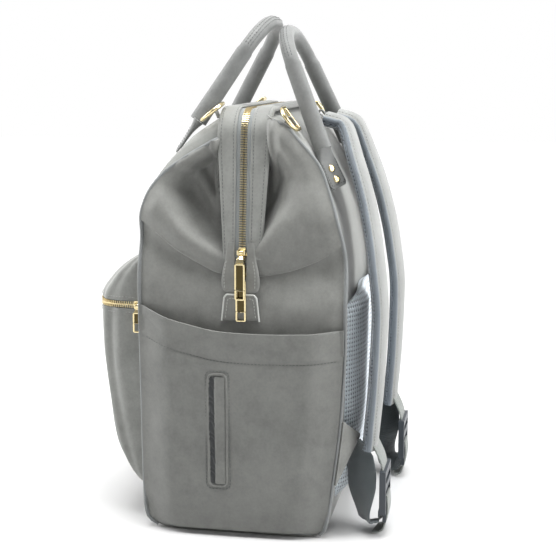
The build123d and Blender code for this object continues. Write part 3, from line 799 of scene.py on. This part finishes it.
piece("front_tape", tape(-1), TAPE, FRONT, ("front_zip_tape",))
piece("rear_tape", tape(1), TAPE, BAG, ("rear_zip_tape",))

# a tooth's outline as (past the tape's edge, along the zip)
TOOTH = [(-3.1, -0.45), (-3.1, 0.45), (-0.9, 0.42), (0.1, 0.62),
         (0.75, 0.4), (0.75, -0.4), (0.1, -0.62), (-0.9, -0.42)]


def teeth(path, across, out, side, offset, pitch=2.3, tall=1.25):
    """A row of metal teeth: each clasps the tape's edge and has a rounded head past the middle."""
    form = Form()
    lengths = walk(path)
    for k in range(int((lengths[-1] - offset) / pitch)):
        at = offset + k * pitch
        centre = value_at(at, lengths, path)
        along = unit(value_at(at + 0.5, lengths, path) - centre)
        up = unit(value_at(at, lengths, out))
        a = unit(value_at(at, lengths, across)) * side
        rows = []
        for rise, grow in ((-tall, 0.86), (0.55 * tall, 1.0), (0.9 * tall, 0.74)):
            rows.append([centre - a * s + along * t * grow + up * rise for s, t in TOOTH])
        form.add(capped(rows))
    return form


def mouth_teeth(side, foot):
    path = arch_path(1.6, foot, 1.5)
    _, out = frames(path, (0, 1, 0))
    across = np.broadcast_to(np.array([0.0, 1.0, 0.0]), path.shape)
    return teeth(path, across, out, side, 0.4 if side < 0 else 1.55)  # the rear row is half a pitch on


piece("front_teeth", mouth_teeth(-1, 262.5), GOLD_TEETH, FRONT, ("front_zip_teeth",))
piece("rear_teeth", mouth_teeth(1, 252), GOLD_TEETH, BAG, ("rear_zip_teeth",))

# ---- zip ends: tongue and tab -------------------------------------------------------------------


def patch(outline, centre_x, thick, crown):
    """A sewn patch on the side: a stack of shrunk copies of its outline, crowned, with a rolled edge."""
    outline = resample([(0, y, z) for y, z in outline] + [(0, *outline[0])], 1.6)[:-1, 1:]
    middle = outline.mean(axis=0)
    rows = []
    rings = ((1.0, -0.6), (1.0, 0.55), (0.985, 0.85), (0.955, 1.0), (0.86, 1.0), (0.6, 1.0), (0.3, 1.0))
    for scale, rise in rings:
        ring_points = middle + (outline - middle) * scale
        lift = centre_x + thick * rise + crown * (1 - scale**2)
        rows.append([(lift, y, z) for y, z in ring_points])
    return capped(rows)


tongue_outer = spline((236.5, 12.0), (238.5, 16.4), (246, 18.4), (256, 17.4), (266, 15.2), (284, 12.6))
tongue_slot = spline((236, 0), (242.5, 0.2), (244.5, 4.4), (247, 5.6), (284, 6.4))


def tongue_side(sign):
    """Half of the tongue below the zip: whole at its foot, split round the chain further up."""
    z = np.linspace(236.5, 284, 44)[:, None]
    s = np.linspace(0, 1, 16)[None, :]
    inner, outer = tongue_slot(z), tongue_outer(z)
    y = inner + (outer - inner) * s
    roll = 1 - np.sqrt(1 - np.clip((s - 0.82) / 0.18, 0, 1) ** 2 * 0.98)
    lip = 1 - np.sqrt(1 - np.clip((239.5 - z) / 3.0, 0, 1) ** 2 * 0.98)
    x = 127.0 - 0.085 * np.maximum(0, z - 256) - 1.6 * roll - 1.2 * lip - 0.5 * (y / 18) ** 2
    return np.stack(np.broadcast_arrays(x, sign * y - 1.0, z), axis=2)


tongue = Form(shell(tongue_side(1), 1.5)).add(shell(tongue_side(-1), -1.5)).mirrored()
piece("zip_tongues", tongue, LEATHER, BAG, ("zip_end_panels",))
tab_outline = [(-19, 210), (17, 210), (14.5, 232), (12, 235), (-14, 235), (-16.5, 232)]
tabs = Form(patch(tab_outline, 125.4, 1.5, 0.6)).mirrored()
piece("zip_tabs", tabs, LEATHER, BAG, ("zip_end_tabs",))
rim = np.array([(126.6, y, z) for y, z in tab_outline + tab_outline[:1]])
rim = rounded_path(list(rim[[0, 5, 4, 3, 2, 1]]), 2.0, 1.0)
piece("zip_tab_edges", Form(sweep(rim, ring(0.9, 8), (1, 0, 0))).mirrored(), EDGE_PAINT, BAG)

tongue_thread = Form()
for sign in (-1, 1):
    line = [(127.5, 14.5, 241), (127.6, 14.8, 254), (126.9, 12.4, 268)]
    line = resample([(x, sign * y - 1.5, z) for x, y, z in line], 2)
    tongue_thread.add(stitches(line, (1, 0, 0), 3.3, 0.36))
tab_line = [(127.6, y, z) for y, z in ((-15.2, 212.5), (-13, 231.5), (11.5, 231.5), (13.7, 212.5))]
tab_line = rounded_path(tab_line, 2, 1.5)
tongue_thread.add(stitches(tab_line, (1, 0, 0), 3.2, 0.34))
piece("zip_end_thread", tongue_thread.mirrored(), THREAD, BAG)

# ---- handles ------------------------------------------------------------------------------------
# each handle's foot and lean as (y, z), and how far it rises along the lean
HANDLES = {
    "front": ((-52, 394), (0.522, 0.853), 109.0),
    "rear": ((69, 368), (-0.391, 0.920), 119.5),
}


def handle_path(place, step=3.0):
    (y, z), (dy, dz), rise = place
    flat = rounded_path([(80, 0, 0), (44, 0, rise), (-44, 0, rise), (-80, 0, 0)], 48, step)
    return np.array([(x, y + dy * r, z + dz * r) for x, _, r in flat])


def handle(place):
    """Rolled grip, flatter and wider at its ends; also gives its path and the side it faces."""
    path = handle_path(place)
    _, (dy, dz), _ = place
    normal = np.array([0, -dz, dy])

    def section(t):
        end = min(t, 1 - t) * 2
        flat = 1 - 0.35 * (1 - smooth(0.0, 0.10, end))
        wide = 1 + 0.18 * (1 - smooth(0.0, 0.12, end))
        return ring(7.3 * float(wide), 18, float(flat / wide))

    return Form(sweep(path, section, normal)), path, normal


for which, place in HANDLES.items():
    form, path, normal = handle(place)
    piece(f"{which}_grip", form, HANDLE_LEATHER, f"{which}_handle", (f"{which}_handle",))
    side_dir, out_dir = frames(path, normal)
    path, side_dir, out_dir = path[3:-3], side_dir[3:-3], out_dir[3:-3]
    thread = Form(stitches(path - out_dir * 7.2, -out_dir, 3.6, 0.42))
    for sign in (-1, 1):
        edge_line = path - out_dir * 6.6 + side_dir * sign * 3.0
        thread.add(stitches(edge_line, side_dir * sign * 0.45 - out_dir, 3.6, 0.36))
    piece(f"{which}_grip_thread", thread, THREAD_DARK, f"{which}_handle")


STUD = ((3.6, 0.0), (3.6, 0.7), (3.2, 1.1), (2.1, 1.2), (1.9, 0.8), (0.4, 0.75))  # radius, rise


def tab_thick(t):
    """A tab is thick where it leaves the grip and thins towards its tip."""
    return 8.5 * (1 - t) ** 4 + 2.6


def handle_tab(line, turn, rivets):
    """End tab of a handle: a flat strap that leaves the grip and is sewn down along a (y, z) line."""
    path = resample(rounded_path([(80, y, z) for y, z in line], 12, 1.5), 1.6)
    along = unit(np.gradient(path, axis=0))
    out = unit(np.cross(along, np.array([1.0, 0, 0])))
    out *= np.where(out[:, 2:] < 0, -1, 1)
    across = unit(np.array([[1.0, 0, 0]]) * math.cos(turn) - out * math.sin(turn))
    face = np.cross(along, across)
    face *= np.where(np.sum(face * out, axis=1, keepdims=True) < 0, -1, 1)
    rows, edges = [], {-1: [], 1: []}
    last = len(path) - 1
    for k, p in enumerate(path):
        t = k / last
        wide = 8.2 + 1.6 * float(smooth(0, 0.4, t)) - (2.4 * (t - 0.93) / 0.07 if t > 0.93 else 0)
        thick = tab_thick(t)
        cut = slab(2 * wide, thick, min(thick * 0.46, 5), 5)
        rows.append([p + across[k] * a + face[k] * (b + 0.1) for a, b in cut])
        for sign in (-1, 1):
            if 0.30 < t < 0.95:
                edges[sign].append(p + across[k] * sign * (wide - 1.9) + face[k] * (thick / 2 + 0.05))
    loop = edges[-1] + edges[1][::-1]
    thread = stitches(resample(loop, 2), face[last // 2], 3.0, 0.34)
    studs = Form()
    for t in rivets:
        k = int(t * last)
        stud = []
        for radius, rise in STUD:
            centre = path[k] + face[k] * (tab_thick(t) / 2 + rise)
            stud.append([centre + along[k] * a + across[k] * b for a, b in ring(radius, 20)])
        points, faces = capped(stud)
        studs.add((points, faces[:-2] + faces[-1:]))  # open underneath, where it enters the leather
    return capped(rows), thread, studs


TABS = (
    ("front", [(-51, 395), (-58, 386), (-66, 374.5), (-73, 365)], 0.25, (), FRONT),
    ("rear", [(68.4, 369.5), (72, 359), (78.5, 346), (85, 333)], 0.80, (0.55, 0.82), BAG),
)
for which, line, turn, rivets, body in TABS:
    solid, thread, studs = handle_tab(line, turn, rivets)
    tabs = Form(solid).mirrored()
    piece(f"{which}_grip_tabs", tabs, HANDLE_LEATHER, body, (f"{which}_handle_tabs",))
    piece(f"{which}_grip_tab_thread", Form(thread).mirrored(), THREAD_DARK, body)
    if rivets:
        piece("rear_grip_rivets", studs.mirrored(), GOLD, body, ("rear_handle_rivets",))

# ---- ring loops ---------------------------------------------------------------------------------


for which, reach, body in (("front", -7, FRONT), ("rear", 7, BAG)):
    # a folded leather loop round each ring's bar, its tails sewn down
    node = f"{which}_ring_loops"
    low, high = (np.array(corner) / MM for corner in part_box(node))
    x, y, top = high[0] - 5, (low[1] + high[1]) / 2, high[2]
    fold = [(x, y + reach, top - 12), (x, y, top - 1.5), (x, y - reach * 0.6, top - 12)]
    path = rounded_path(fold, 3.0, 1.0)
    loops = Form(sweep(path, slab(10, 1.8, 0.8), (1, 0, 0))).mirrored()
    piece(f"{which}_ring_leather", loops, LEATHER, body, (node,))

# ---- side pockets -------------------------------------------------------------------------------
pocket_top = spline((-99, 223), (-80, 216.5), (-50, 208), (-18, 202), (20, 200.5), (60, 202), (97, 204.5))


def pocket_x(y, z):
    """Outer face of a side pocket: sewn in at its edges, standing off in the middle, gaping at the top."""
    edge = np.minimum(y - front_edge(z), rear_edge(z) - y)
    high = smooth(150, 215, z)
    x = 126.0 + 13.5 * smooth(-2, 34, edge) - 5.0 * (1 - smooth(4, 60, z))
    x = x + 0.9 * high * smooth(10, 40, edge)
    x = x + 1.3 * ripple(y, z, 60, 11.3) + 0.5 * ripple(y, z, 22, 4.1) * smooth(0, 20, edge)
    top = pocket_top(y)
    x = x - 0.9 * near(y, z - top, ((-120, -29, 1), (120, -29, 1)), 1.6)
    x = x + 0.7 * smooth(-29, -26, z - top) * smooth(0, 10, edge)
    x = x - 1.6 * near(y, z, ((-92, 205, 0.9), (-60, 186, 0.5), (-34, 178, 0)), 7)
    x = x + 1.2 * near(y, z, ((-90, 216, 0.8), (-60, 199, 0.7), (-20, 192, 0)), 6)
    return x


def pocket_rows():
    u = np.linspace(0, 1, 96)[None, :]
    v = np.linspace(0, 1, 84)[:, None]
    low = 7.0
    z = low + (pocket_top(-99 + 196 * u) - low) * v
    y = front_edge(z) + 0.6 + (rear_edge(z) - front_edge(z) - 1.2) * u
    x = pocket_x(y, z)
    rows = np.stack(np.broadcast_arrays(x, y, z), axis=2)
    hem = []
    for inwards, fall in ((0.7, 0.5), (1.6, 0.3), (2.3, -1.2), (2.6, -9), (2.6, -24)):
        row = rows[-1].copy()
        edge = np.minimum(row[:, 1] - front_edge(row[:, 2]), rear_edge(row[:, 2]) - row[:, 1])
        row[:, 0] -= inwards * smooth(0, 8, edge)
        row[:, 2] += fall
        hem.append(row)
    foot = rows[0].copy()
    foot[:, 0] = np.minimum(foot[:, 0] - 2.0, 126.0)
    foot[:, 2] -= 2.0
    return np.concatenate([[foot], rows, hem])


for label in ("right", "left"):
    cloth = Form(shell(pocket_rows(), 1.4))
    if label == "left":
        cloth.flipped()
    node = f"side_pocket_{label}"
    piece(f"side_pocket_cloth_{label}", cloth, LEATHER_POCKET, BAG, (node,))
hem_y = np.linspace(-93, 92, 140)
hem_z = pocket_top(hem_y) - 28.6
hem_line = np.stack([pocket_x(hem_y, hem_z) + 0.25, hem_y, hem_z], axis=1)
hem_thread = Form(stitches(hem_line, (1, 0, 0), 3.3, 0.36)).mirrored()
piece("side_pocket_thread", hem_thread, THREAD_DARK, BAG)

# ---- wipes slot ---------------------------------------------------------------------------------
SLOT_Y, SLOT_Z = (-28.0, -13.0), (53.0, 160.0)


def slot_frame(grow):
    """Rounded loop round the slot, lying on the pocket's cloth."""
    y0, y1, z0, z1 = SLOT_Y[0] - grow, SLOT_Y[1] + grow, SLOT_Z[0] - grow, SLOT_Z[1] + grow
    middle = (y0 + y1) / 2
    corners = ((middle, z0), (y1, z0), (y1, z1), (y0, z1), (y0, z0), (middle, z0))
    path = rounded_path([(141, y, z) for y, z in corners], 5.0, 1.5)
    path[:, 0] = pocket_x(path[:, 1], path[:, 2])
    return path


trim = Form(sweep(slot_frame(1.2), slab(2.2, 2.4, 1.0), (1, 0, 0), closed=True))
piece("wipes_slot_piping", trim, LEATHER_POCKET, BAG, ("wipes_slot_trim",))
trim_thread = Form(stitches(slot_frame(4.0) + np.array([0.25, 0, 0]), (1, 0, 0), 3.3, 0.34))
piece("wipes_slot_thread", trim_thread, THREAD_DARK, BAG)
# the flap leaves a slit open at its front edge, where gathered cloth shows, coloured near black as painted
# shade for the dark inside the slit
flap_z = np.linspace(SLOT_Z[0] + 1.5, SLOT_Z[1] - 1.5, 60)[:, None]
flap_y = np.linspace(SLOT_Y[0] + 4.6, SLOT_Y[1] - 0.4, 12)[None, :]
flap_x = pocket_x(flap_y, flap_z) + 0.8 + 0.9 * np.sin((flap_y - SLOT_Y[0]) / 15 * math.pi)
flap_x = flap_x - 0.9 * (1 - smooth(SLOT_Y[0] + 4.6, SLOT_Y[0] + 7.0, flap_y))
flap = Form(shell(np.stack(np.broadcast_arrays(flap_x, flap_y, flap_z), axis=2), 1.2))
piece("wipes_slot_flap", flap, LEATHER_POCKET, "wipes_flap", ("wipes_flap",))
inner_z = np.linspace(SLOT_Z[0] + 1, SLOT_Z[1] - 1, 120)[:, None]
inner_y = np.linspace(SLOT_Y[0] - 0.5, SLOT_Y[0] + 5.5, 8)[None, :]
gathers = np.sin(inner_z * 0.9 + 2 * np.sin(inner_z * 0.37) + inner_y)
inner_x = pocket_x(inner_y, inner_z) + 0.45 + 0.45 * gathers
inner = Form(shell(np.stack(np.broadcast_arrays(inner_x, inner_y, inner_z), axis=2), 0.6))
piece("wipes_slot_lining", inner, SLIT_SHADE, BAG)

# ---- front pocket -------------------------------------------------------------------------------
ZIP_Z = 216.5
pocket_depth = spline((34, 8), (40, 20), (60, 36), (84, 45), (130, 53.5), (176, 58), (216, 58.5), (226, 57),
                      (240, 47), (252, 34), (260, 21), (264, 12), (265, 4))


def front_pocket_point(t, z, grow=0.0):
    """(x, y) on the front pocket's skin: t runs from the right wall (0) to the left wall (1)."""
    a = math.pi * t
    c, s = math.cos(a), math.sin(a)
    power = 2 / 4.4
    half, deep = 99.5 + grow, float(pocket_depth(z)) + grow
    x = half * math.copysign(abs(c) ** power, c)
    y = -99.5 - deep * abs(s) ** power
    return x, y


def front_pocket_rows(low, high, count, wrinkle):
    """The pocket's skin between two heights, with upright folds near its corners."""
    rows = []
    for k in range(count + 1):
        z = low + (high - low) * k / count
        row = []
        for j in range(97):
            t = j / 96
            x, y = front_pocket_point(t, z)
            deep = wrinkle * float(smooth(0.0, 0.08, t) * smooth(1.0, 0.92, t))
            fold = math.sin(t * 44 + math.sin(z * 0.028) * 1.3) * math.exp(-(((t - 0.17) / 0.12) ** 2))
            fold += math.sin(t * 44 - 1.1 + math.sin(z * 0.025) * 1.4) * math.exp(-(((t - 0.83) / 0.12) ** 2))
            fade = float(smooth(low - 4, low + 40, z)) if wrinkle > 1 else 1.0
            soft = noise.noise(Vector((x / 46, y / 46, z / 60))) * 1.8
            push = deep * (fold * 1.7 * fade + soft)
            row.append((x + push * math.cos(math.pi * t) * 0.7, y - push * math.sin(math.pi * t) * 0.9, z))
        rows.append(row)
    return np.array(rows)


pouch = front_pocket_rows(34.5, 212.5, 60, 1.6)
piece("front_pouch", Form(shell(pouch, -1.8)), LEATHER_TOP, BAG, ("front_pocket_pouch",))
lid = front_pocket_rows(220.5, 264.8, 26, 0.8)
piece("front_pocket_dome", Form(shell(lid, -1.8)), LEATHER_TOP, "pocket_lid", ("pocket_lid",))


def pocket_line(z, grow):
    """Level line round the front pocket."""
    return np.array([(*front_pocket_point(t, z, grow), z) for t in np.linspace(0.012, 0.988, 200)])


path = pocket_line(ZIP_Z, -0.6)
across, out = frames(path, (0, 0, 1))
for label, z, side, body in (("lower", 213.6, -1, BAG), ("upper", 219.4, 1, "pocket_lid")):
    form = teeth(path, across, out, side, 0.3 if side < 0 else 1.4, 2.3, 1.0)
    piece(f"pocket_teeth_{label}", form, GOLD_TEETH, body, (f"pocket_zip_{label}",))
    strip = sweep(pocket_line(z, -1.6), slab(7.0, 0.9, 0.4, 3), (0, 0, 1))
    piece(f"pocket_tape_{label}", Form(strip), TAPE, body)
    line = pocket_line(z + side * 4.6, 0.6)
    thread = Form(stitches(line, frames(line, (0, 0, 1))[1], 3.3, 0.36))
    piece(f"pocket_thread_{label}", thread, THREAD, body)

# ---- back: mesh pad -----------------------------------------------------------------------------


def back_pad():
    """Padded mesh panel over the back, wrapping a little round the rear seams."""
    rows = []
    for z in np.linspace(33, 236, 52):
        row = []
        for j in range(64):
            s = -1 + 2 * j / 63
            x = 113.0 * math.copysign(abs(s) ** 0.9, s)
            top = 232 - 16 * abs(s) ** 2.5 + 2
            zz = 33 + (top - 33) * (z - 33) / 203
            lobe = 0.5 + 0.5 * math.cos((abs(x) - 56) / 56 * math.pi)
            channel = 1 - math.exp(-((x / 7.0) ** 2))
            across = max(0.0, 1 - abs(s) ** 5)
            along = min(1.0, (zz - 32) / 14) * min(1.0, (top + 3 - zz) / 14)
            puff = 15 * across**0.6 * max(along, 0) ** 0.5 * (0.62 + 0.38 * lobe * channel)
            row.append((x, float(rear_crown(zz)) - 1.5 + puff - 14 * abs(s) ** 9, zz))
        rows.append(row)
    return np.array(rows)


pad = piece("back_pad", Form(shell(back_pad(), -6)), MESH_FABRIC, BAG, ("back_mesh_pad",))

# ---- straps -------------------------------------------------------------------------------------
# the straps' course down the back as (y, z), how far out they lie, and half their width, by height
strap_line = [(66, 396), (82, 391), (98, 355), (112, 310), (121, 262), (126, 212), (124, 150), (119, 84)]
strap_centre = spline((100, 90), (150, 86), (200, 81.5), (250, 77), (300, 66.5), (350, 55.5), (381, 41),
                      (410, 37))
strap_half = spline((96, 21), (106, 24.5), (175, 28), (250, 31), (300, 30), (350, 27), (381, 21), (410, 20))


def smooth_path(points, count, step):
    """Evenly spaced points on a smooth line through a few."""
    knots = np.linspace(0, 1, len(points))
    at = np.linspace(0, 1, count)
    made = [spline(*[(k, p[c]) for k, p in zip(knots, points)])(at) for c in range(3)]
    return resample(np.stack(made, axis=1), step)


def strap_forms():
    """A padded strap: leather over mesh, a rolled binding on both edges, and its stitches."""
    path = smooth_path([(float(strap_centre(z)), y, z) for y, z in strap_line], 90, 4.0)
    side = np.array([1.0, 0, 0])
    along = unit(np.gradient(path, axis=0))
    out = unit(np.cross(side, along))
    out *= np.where(out[:, 1:2] < 0, -1, 1)
    pillow, binding, thread = Form(), Form(), Form()
    outer, inner = [], []
    edges, lines = {-1: [], 1: []}, {-1: [], 1: []}
    for p, o, a in zip(path, out, along):
        half = float(strap_half(p[2]))
        across = unit(side - a * a[0])
        top, low = [], []
        for j in range(15):
            s = -1 + 2 * j / 14
            puff = 1 - abs(s) ** 3
            top.append(p + across * s * half + o * (1.6 + 4.8 * puff))
            low.append(p + across * s * half - o * (1.6 + 4.4 * puff))
        outer.append(top)
        inner.append(low)
        for sign in (-1, 1):
            edges[sign].append(p + across * sign * (half - 0.2))
            rise = 1.7 + 4.8 * (1 - (1 - 5.0 / half) ** 3)
            lines[sign].append(p + across * sign * (half - 5.0) + o * rise)
    pillow.add(shell(np.array(outer), 2.0), 0)
    pillow.add(shell(np.array(inner), 2.0), 1)
    for sign in (-1, 1):
        binding.add(sweep(np.array(edges[sign]), slab(4.4, 5.4, 2.1), (1, 0, 0)))
        thread.add(stitches(np.array(lines[sign]), out, 3.4, 0.36))
    return pillow, binding, thread


for label in ("right", "left"):
    pillow, binding, thread = strap_forms()
    if label == "left":
        for form in (pillow, binding, thread):
            form.flipped()
    body = f"strap_{label}"
    faces = [STRAP_LEATHER, STRAP_MESH]
    pad = piece(f"strap_pad_{label}", pillow, faces, body, (f"strap_{label}",))
    piece(f"strap_binding_{label}", binding, BINDING, body)
    piece(f"strap_thread_{label}", thread, THREAD, body)

# ---- webbing at the straps' ends ----------------------------------------------------------------


def ribbon(points, wide, twist=((0, 0), (1, 0))):
    """Flat webbing through a few points; twist gives its turn in radians along its length."""
    thick = 1.8
    path = smooth_path(points, 140, 3.0)
    sides = np.broadcast_to(np.array([1.0, 0, 0]), path.shape)
    if len(twist) > 2:
        turns = np.interp(np.linspace(0, 1, len(path)), *zip(*twist))
        along = unit(np.gradient(path, axis=0))
        flat = unit(sides - along * np.sum(sides * along, axis=1, keepdims=True))
        up = np.cross(along, flat)
        sides = flat * np.cos(turns)[:, None] + up * np.sin(turns)[:, None]
    return sweep(path, slab(wide, thick, thick * 0.48, 3), sides)


for label in ("right", "left"):
    short = Form(ribbon([(90, 120, 96), (90, 126, 84), (90, 131, 72), (90, 133, 60), (90, 133, 52)], 34))
    lower = Form(ribbon([(90, 131.5, 34), (92, 131, 20), (96, 124, 12), (100, 115, 15), (102, 112, 34),
                         (101, 112, 58), (99, 108, 78), (96, 104, 92)], 34,
                        ((0, 0), (0.2, 0.25), (0.42, 0.55), (0.6, 1.0), (0.85, 1.1), (1, 0.5))))
    tail = Form(ribbon([(90, 136, 40), (90, 137, 28), (89, 135, 14), (89, 131, 4), (88, 124, 2.5)], 26))
    if label == "left":
        for form in (short, lower, tail):
            form.flipped()
    body = f"strap_{label}"
    piece(f"strap_web_{label}", short, WEBBING, body, (f"strap_webbing_{label}",))
    bend = (BAG, body, (0, 0.106, 0.012), (0, 0.130, 0.034))
    # the lower webbing takes the darkened webbing copy: its dark tone is painted shade
    piece(f"lower_web_{label}", lower, WEBBING_SHADED, bend, (f"lower_webbing_{label}",))
    piece(f"web_tail_{label}", tail, WEBBING, body)


def corner_patch():
    """Folded triangle sewn into the rear seam, its point holding the lower webbing."""
    rows = []
    for k in range(20):
        t = k / 19
        z = 54 + 62 * t  # along the seam
        reach = max(1 - abs(t - 0.62) / (0.62 if t < 0.62 else 0.38), 0.03)
        row = []
        for j in range(11):
            s = j / 10
            x = 121.5 - 24 * s * reach
            y = float(rear_edge(z)) + 1.5 + 15.5 * s * reach + 2.0 * math.sin(s * math.pi) * reach
            row.append((x, y, z + 6 * s * reach))
        rows.append(row)
    return shell(np.array(rows), -2.4)


patches = Form(corner_patch()).mirrored()
piece("corner_patches_soft", patches, LEATHER, BAG, ("corner_patches",))

# ---- inside: lining and bottle pockets ----------------------------------------------------------


def lining_rows():
    """Closed rounded rings up the inside, slightly slack."""
    rows = []
    for z in np.linspace(6, 246, 40):
        row = []
        for j in range(80):
            a = 2 * math.pi * j / 80
            c, s = math.cos(a), math.sin(a)
            x = 109.5 * math.copysign(abs(c) ** 0.42, c)
            front, rear = float(front_edge(z)), float(rear_edge(z))
            mid, reach = (rear + front) / 2, (rear - front) / 2 - 6.5
            y = mid + reach * math.copysign(abs(s) ** 0.42, s)
            push = 0.7 * math.sin(j * 1.9 + z * 0.03) + 0.6 * noise.noise(Vector((x / 30, y / 30, z / 40)))
            row.append((x - push * c, y - push * s, z))
        rows.append(row)
    return np.array(rows)


# a tub with a floor: up the outside, over the rim and down the inside again
outside = lining_rows()
inside = outside * (0.992, 0.99, 1)
inside[0, :, 2] += 1.2
tub = capped(np.concatenate([outside, inside[::-1]]))
piece("inner_lining", Form(tub), LINING, BAG, ("main_lining",))

bottles = Form()
for centre in (-66, 0, 66):
    for z0, z1, grow in ((30, 146, 0.0), (146, 150, 0.8)):
        rows = []
        for z in np.linspace(z0, z1, 14):
            waist = 1 - 0.06 * float(smooth(100, 146, z))
            loop = []
            for j in range(40):
                a = 2 * math.pi * j / 40
                c, s = math.cos(a), math.sin(a)
                gather = 0.5 * math.sin(a * 20) * float(smooth(110, 146, z))
                x = centre + (30 + grow + gather) * waist * math.copysign(abs(c) ** 0.6, c)
                loop.append((x, -81 + (10.3 + grow) * math.copysign(abs(s) ** 0.6, s), z))
            rows.append(loop)
        points, faces = grid(rows, closed=True)
        if z0 == 30:
            faces.append(tuple(reversed(range(40))))  # the pocket's bottom
        bottles.add((points, faces))
piece("bottle_pockets", bottles, LINING, BAG, ("inner_bottle_pockets",))

# ---- zip pulls ----------------------------------------------------------------------------------


def pull_form(node, crank):
    """Zip pull as its CAD node places it: eye, neck, framed mirror plate and a windowed end."""
    low, high = (np.array(corner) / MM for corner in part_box(node))
    y = (low[1] + high[1]) / 2
    pin = np.array([low[0] + 2.2, y, high[2] - 2.2])
    x, tip, top = high[0] - 0.9, low[2], high[2] - 8.0 - crank / 2
    turns = np.linspace(0, 2 * math.pi, 15)
    eye = np.array([pin + 1.9 * np.array([math.cos(t), 0, math.sin(t)]) for t in turns])
    form = Form(sweep(eye, slab(4.2, 1.0, 0.45, 3), (0, 1, 0), closed=True))
    neck = [(pin[0] + 0.6, y, pin[2] - 2.0), (pin[0] + crank * 0.75, y, top + 3.5), (x, y, top - 0.6)]
    form.add(sweep(resample(neck, 1.2), lambda t: slab(4.0 + 4.2 * t, 1.5, 0.6, 3), (0, 1, 0)))
    window = tip + 9.6
    for z0, z1 in ((tip + 0.8, window), (window, top - 0.8)):
        corners = ((0, z0), (4.1, z0), (4.1, z1), (-4.1, z1), (-4.1, z0), (0, z0))
        frame_path = rounded_path([(x, y + across, z) for across, z in corners], 1.0, 0.6)
        form.add(sweep(frame_path, slab(1.7, 1.8, 0.5, 3), (1, 0, 0), closed=True))
    rows = []
    for z in np.linspace(window + 0.4, top - 1.2, 8):
        rows.append([(x + 0.25 - 0.25 * (s * s), y + 3.7 * s, z) for s in np.linspace(-1, 1, 7)])
    form.add(shell(np.array(rows), 0.8), 1)
    return form


for node, crank in (("zip_pull_upper", 6.6), ("zip_pull_lower", 0.4), ("pocket_pull", 0.4)):
    piece(f"{node}_plate", pull_form(node, crank), [GOLD, GOLD_MIRROR], node, (node,), 35)

# ---- CAD pieces that stay -----------------------------------------------------------------------
KEPT = {
    "base_board": BOARD,
    "front_frame_wire": STEEL,
    "rear_frame_wire": STEEL,
    "frame_hinge_rivets": STEEL,
    "front_ring_right": GOLD,
    "front_ring_left": GOLD,
    "rear_ring_right": GOLD,
    "rear_ring_left": GOLD,
    "zip_slider_upper": GOLD,
    "zip_slider_lower": GOLD,
    "pocket_slider": GOLD,
    "ladder_lock_right": PLASTIC,
    "ladder_lock_left": PLASTIC,
}
for node, material in KEPT.items():
    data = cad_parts[node].data
    data.materials.clear()
    data.materials.append(material)
